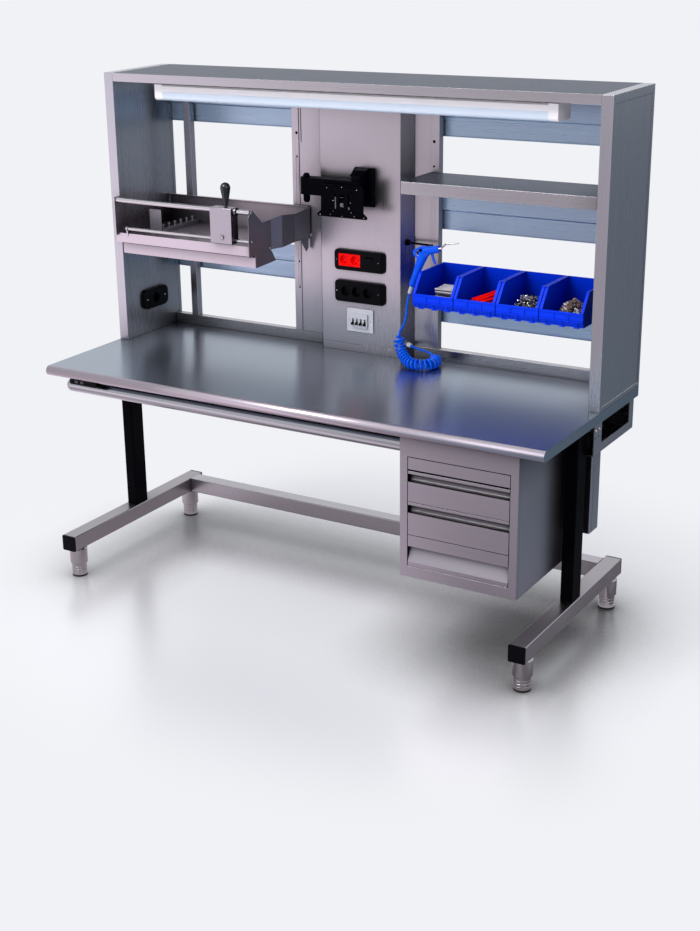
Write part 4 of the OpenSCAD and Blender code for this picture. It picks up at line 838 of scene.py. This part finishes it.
def bars_in_bin():
    """Pale metal bars in layers, lying along the bin's front."""
    bm = bmesh.new()
    for i in range(BARS):
        made = block(bm, (0, 0, 0), BAR_SIZE)
        layer, place = divmod(i, BARS_IN_LAYER)
        x = BIN_X + 108 + goods.uniform(-2, 2)
        y = BIN_FRONT + 30 + 15.5 * place + 4 * (layer % 2)
        z = BIN_FLOOR + 4.5 + 8.7 * layer
        turn = Matrix.Rotation(goods.uniform(-0.05, 0.05), 4, "Z")
        bmesh.ops.transform(bm, verts=made, matrix=Matrix.Translation(mm(x, y, z)) @ turn)
    bevel_all(bm, 1.2)
    piece("bars_in_bin", bm, screw_steel, "desk")


# Ends of the sticks, from the bin's left side, front and floor
STICKS = (
    ((58, 26, 44), (143, 110, 74)), ((74, 22, 43), (145, 86, 68)),
    ((52, 34, 34), (140, 126, 62)), ((92, 20, 40), (146, 62, 56)),
    ((60, 22, 22), (140, 88, 34)), ((80, 18, 14), (144, 70, 26)),
    ((50, 26, 8), (130, 110, 20)), ((88, 20, 7), (146, 56, 12)))


def sticks_in_bin():
    """Red sticks that lean from the floor to the right wall."""
    bm = bmesh.new()
    corner = Vector((BIN_X + BIN_PITCH, BIN_FRONT, BIN_FLOOR))
    for a, b in STICKS:
        round_bar(bm, corner + Vector(a), corner + Vector(b), 5.6, 5.0, 10)
    piece("red_sticks_in_bin", bm, red_gloss, "desk")


def heap(x, y, spread, height):
    """A place in a low heap round x, y on the bin's floor."""
    while True:
        dx, dy = goods.uniform(-1, 1), goods.uniform(-1, 1)
        if dx * dx + dy * dy < 1:
            break
    top = height * (1 - 0.7 * (dx * dx + dy * dy))
    return mm(x + dx * spread[0], y + dy * spread[1], BIN_FLOOR + 4 + goods.uniform(0, top))


def lay_down(bm, verts, low, high):
    """Tips an upright thing over by some angle between low and high, in degrees."""
    tip = Matrix.Rotation(math.radians(goods.uniform(low, high)), 4, "X")
    bmesh.ops.transform(bm, verts=verts, matrix=tip)


def tumble(bm, verts, at):
    """Moves some vertices to a place and turns them, mostly lying flat."""
    turn = Matrix.Rotation(goods.uniform(0, 2 * math.pi), 4, "Z")
    tilt = Matrix.Rotation(goods.uniform(-0.25, 0.25), 4, "X")
    bmesh.ops.transform(bm, verts=verts, matrix=Matrix.Translation(at) @ turn @ tilt)


def upright_cone(bm, sides, r1, r2, depth, z=0.0):
    """A small closed cone on the Z axis, as its vertices."""
    return bmesh.ops.create_cone(bm, cap_ends=True, segments=sides, radius1=r1 / 1000,
                                 radius2=r2 / 1000, depth=depth / 1000,
                                 matrix=Matrix.Translation(mm(0, 0, z)))["verts"]


def screws_in_bin():
    """A heap of small screws, every third one black."""
    bright, dark = bmesh.new(), bmesh.new()
    x, y = BIN_X + 2 * BIN_PITCH + SCREW_HEAP[0], BIN_FRONT + SCREW_HEAP[1]
    for i in range(SCREWS):
        bm = bright if i % 3 else dark
        shank = upright_cone(bm, 6, 1.2, 1.2, 26)
        head = upright_cone(bm, 8, 3.0, 1.2, 3, 13.5)
        lay_down(bm, shank + head, 55, 100)
        tumble(bm, shank + head, heap(x, y, (48, 50), 70))
    piece("screws_in_bin", bright, screw_steel, "desk")
    piece("black_screws_in_bin", dark, black_plastic, "desk")


def fittings_in_bin():
    """A heap of collared fittings, every third one pale."""
    brown, pale = bmesh.new(), bmesh.new()
    x, y = BIN_X + 3 * BIN_PITCH + FITTING_HEAP[0], BIN_FRONT + FITTING_HEAP[1]
    for i in range(FITTINGS):
        bm = brown if i % 3 else pale
        body = upright_cone(bm, 8, 4.8, 4.0, 16)
        collar = upright_cone(bm, 6, 6.6, 6.6, 5, goods.uniform(-6, 6))
        lay_down(bm, body + collar, 30, 110)
        tumble(bm, body + collar, heap(x, y, (47, 48), 72))
    piece("brown_fittings_in_bin", brown, oxide, "desk")
    piece("pale_fittings_in_bin", pale, screw_steel, "desk")


bin_ledges()
bars_in_bin()
sticks_in_bin()
screws_in_bin()
fittings_in_bin()


# Film cutter: marks and seals of its carriage, and the cap of the lower rod

screws("carriage_marks", [
    ((CARRIAGE_X + 14, 0, HIGH_ROD_Z), FRONT, 2.0, 0.6)] + alike([
        (CARRIAGE_X + out, 0, HIGH_ROD_Z - 2) for out in (66, 72, 78)], FRONT, 1.3, 0.5),
    "carriage")


def collar_seals():
    """Two rubber rings on the upper rod, at the carriage's right end."""
    bm = bmesh.new()
    for x in (CARRIAGE_X + 103.2, CARRIAGE_X + 96):
        round_bar(bm, (x, ROD_Y, HIGH_ROD_Z), (x + 1.6, ROD_Y, HIGH_ROD_Z), 14.2, sides=28)
    piece("collar_seals", bm, rubber, "carriage")


def rod_end_cap():
    """Rubber cap at the left end of the lower rod."""
    bm = bmesh.new()
    round_bar(bm, (-923.5, ROD_Y, LOW_ROD_Z), (-920.2, ROD_Y, LOW_ROD_Z), 8.8, 8.0, 24)
    piece("rod_end_cap", bm, rubber, "desk")


collar_seals()
rod_end_cap()


# Light, in metres and watts

SCENE.view_settings.view_transform = "Standard"
PALE = rgba((0.879, 0.888, 0.921))


def make_world():
    """Pale for the camera, for metal and for glass, and an even soft light otherwise."""
    w = bpy.data.worlds.new("studio")
    SCENE.world = w
    w.use_nodes = True
    t = w.node_tree
    t.nodes.clear()
    rays = add(t, "ShaderNodeLightPath").outputs
    pale_rays = calc(t, "ADD", rays["Is Camera Ray"], rays["Is Glossy Ray"], use_clamp=True)
    pale_rays = calc(t, "ADD", pale_rays, rays["Is Transmission Ray"], use_clamp=True)
    light = add(t, "ShaderNodeBackground", Color=rgba((0.93, 0.95, 1.0)), Strength=0.5)
    seen = add(t, "ShaderNodeBackground", Color=PALE, Strength=1.0)
    add(t, "ShaderNodeOutputWorld", Surface=mix_shader(
        t, pale_rays, light.outputs["Background"], seen.outputs["Background"]))


def area(name, at, aim, size, power, color, in_metal=True):
    """A rectangular lamp that looks at aim; in_metal says whether metal shows it."""
    d = bpy.data.lights.new(name, "AREA")
    d.shape = "RECTANGLE"
    d.size, d.size_y = size
    d.energy = power
    d.color = color
    o = bpy.data.objects.new(name, d)
    SCENE.collection.objects.link(o)
    o.location = at
    o.visible_glossy = in_metal
    o.rotation_euler = (Vector(aim) - Vector(at)).to_track_quat("-Z", "Y").to_euler()


make_world()
area("key", (-1.7, -3.4, 5.4), (0, 0, 0.9), (3.0, 2.2), 230, (1.0, 0.97, 0.96))
area("low front", (-1.6, -7.0, 2.6), (0, 0, 1.0), (3.0, 2.0), 125, (1.0, 0.98, 0.98),
     in_metal=False)
area("fill", (4.4, -2.4, 2.6), (0, 0, 0.9), (2.4, 2.6), 30, (0.95, 0.97, 1.0))
area("top", (0, 0.6, 5.0), (0, 0, 0.8), (4.0, 2.6), 60, (1, 1, 1), in_metal=False)


# Floor

# Slab of the floor, in millimetres
FLOOR_SIZE = (60000, 60000, 20)
# Painted shadow under the table: reach in metres and power, of a wide soft one and a close deep
# one
PAINTED_SHADOWS = ((1.1, 0.1), (0.42, 2.5))
PAINTED_SHADOW_SAMPLES = 8
# Bearings to the left of straight ahead, seen from the right end, in degrees, where the floor's
# painted reflection turns from dim to bright
DIM_BEARING = 24
BRIGHT_BEARING = 50
# Painted reflection: lighter and darker bands all round, as a studio has: this many in a full turn
BANDS = 9
# Painted reflection, what metal sees of the floor: bluish far behind and right of the table, and
# warmer elsewhere
COOL = rgba((0.72, 0.88, 1.06))
WARM = rgba((1.0, 0.90, 0.99))


def floor_distance(tree, centre, stretch):
    """Distance on the floor from a centre, measured in an ellipse."""
    place = add(tree, "ShaderNodeTexCoord").outputs["Object"]
    shift = [-centre[i] * stretch[i] for i in range(2)] + [0]
    turn = add(tree, "ShaderNodeMapping", Vector=place, Location=shift,
               Scale=(stretch[0], stretch[1], 0))
    size = add(tree, "ShaderNodeVectorMath", operation="LENGTH")
    tree.links.new(turn.outputs["Vector"], size.inputs[0])
    return size.outputs["Value"]


def floor_for_camera(t, white):
    """Satin floor with shadow and soft reflection round the table, and pale farther out; under the
    table a painted shadow darkens both, on top of the lamps' own shadows.
    """
    # Painted shadow: parts standing over the floor darken its colour and its reflection
    wide, close = [painted_shade_factor(t, reach, power, PAINTED_SHADOW_SAMPLES) for reach, power in PAINTED_SHADOWS]
    painted_shadow = calc(t, "MULTIPLY", wide, close)
    dull = add(t, "ShaderNodeBsdfDiffuse", Color=mix_color(t, 1.0, white, painted_shadow, "MULTIPLY"))
    sheen = mix_color(t, painted_shadow, rgba((0, 0, 0)), rgba((1, 1, 1)))
    shiny = add(t, "ShaderNodeBsdfGlossy", Color=sheen, Roughness=0.28)
    near = mix_shader(t, 0.5, dull.outputs["BSDF"], shiny.outputs["BSDF"])
    pale = add(t, "ShaderNodeEmission", Color=PALE, Strength=1.0)
    fade = ramp(t, floor_distance(t, (0.1, 0.1), (0.85, 1.0)), 0.65, 1.65, 0.0, 1.0)
    return mix_shader(t, fade, near, pale.outputs["Emission"])


def floor_painted_reflection(t, place):
    """Painted reflection: what metal sees of the floor, as light that the floor gives off for it.

    It is brighter on the left than straight ahead and on the right, darker behind and under the
    table as painted shade, brighter far in front, and has soft painted bands all round.
    """
    spot = add(t, "ShaderNodeSeparateXYZ", Vector=place).outputs
    left = calc(t, "SUBTRACT", 1.0, spot["X"])
    front = calc(t, "MULTIPLY", spot["Y"], -1)
    bearing = calc(t, "ARCTAN2", left, front)
    behind = add(t, "ShaderNodeVectorMath", operation="DOT_PRODUCT")
    t.links.new(place, behind.inputs[0])
    behind.inputs[1].default_value = (0.5, 0.87, 0)
    wave = calc(t, "SINE", calc(t, "MULTIPLY", bearing, BANDS))

    # Painted light and shade in what metal sees: brighter to the left and far in front, darker
    # behind and under the table, and in bands
    side = ramp(t, bearing, math.radians(DIM_BEARING), math.radians(BRIGHT_BEARING), 0.58, 1.4)
    dusk = ramp(t, behind.outputs["Value"], 0.0, 2.5, 0.9, 0.52)
    under = ramp(t, floor_distance(t, (0.0, 0.05), (0.85, 1.3)), 0.5, 1.3, 0.32, 1.0)
    far = ramp(t, front, 1.2, 3.6, 0.84, 1.22)
    bands = ramp(t, wave, -1.0, 1.0, 0.68, 1.12)
    level = side
    for other in (dusk, under, far, bands):
        level = calc(t, "MULTIPLY", level, other)

    warm = ramp(t, front, -2.2, -0.8, 0.0, 1.0)
    beside = ramp(t, spot["X"], 1.0, 1.4, 1.0, 0.0)
    hue = mix_color(t, calc(t, "MULTIPLY", warm, beside), COOL, WARM)
    return add(t, "ShaderNodeEmission", Color=hue, Strength=level).outputs["Emission"]


def floor_finish():
    """White floor that the camera, metal and all other rays each see in their own way."""
    m = bpy.data.materials.new("floor")
    m.use_nodes = True
    t = m.node_tree
    t.nodes.clear()
    rays = add(t, "ShaderNodeLightPath").outputs
    place = add(t, "ShaderNodeTexCoord").outputs["Object"]
    grain = add(t, "ShaderNodeTexNoise", Vector=place, Scale=40.0, Detail=3.0)
    white = mix_color(t, grain.outputs["Fac"], rgba((0.85, 0.86, 0.90)), rgba((0.87, 0.88, 0.92)))
    matt = add(t, "ShaderNodeBsdfDiffuse", Color=white).outputs["BSDF"]
    others = mix_shader(t, rays["Is Glossy Ray"], matt, floor_painted_reflection(t, place))
    add(t, "ShaderNodeOutputMaterial", Surface=mix_shader(
        t, rays["Is Camera Ray"], others, floor_for_camera(t, white)))
    return m


def make_floor():
    """A wide slab whose top is the floor."""
    bm = bmesh.new()
    block(bm, (0, 0, -FLOOR_SIZE[2] / 2), FLOOR_SIZE)
    return finish_mesh("floor", bm, floor_finish())


floor = make_floor()
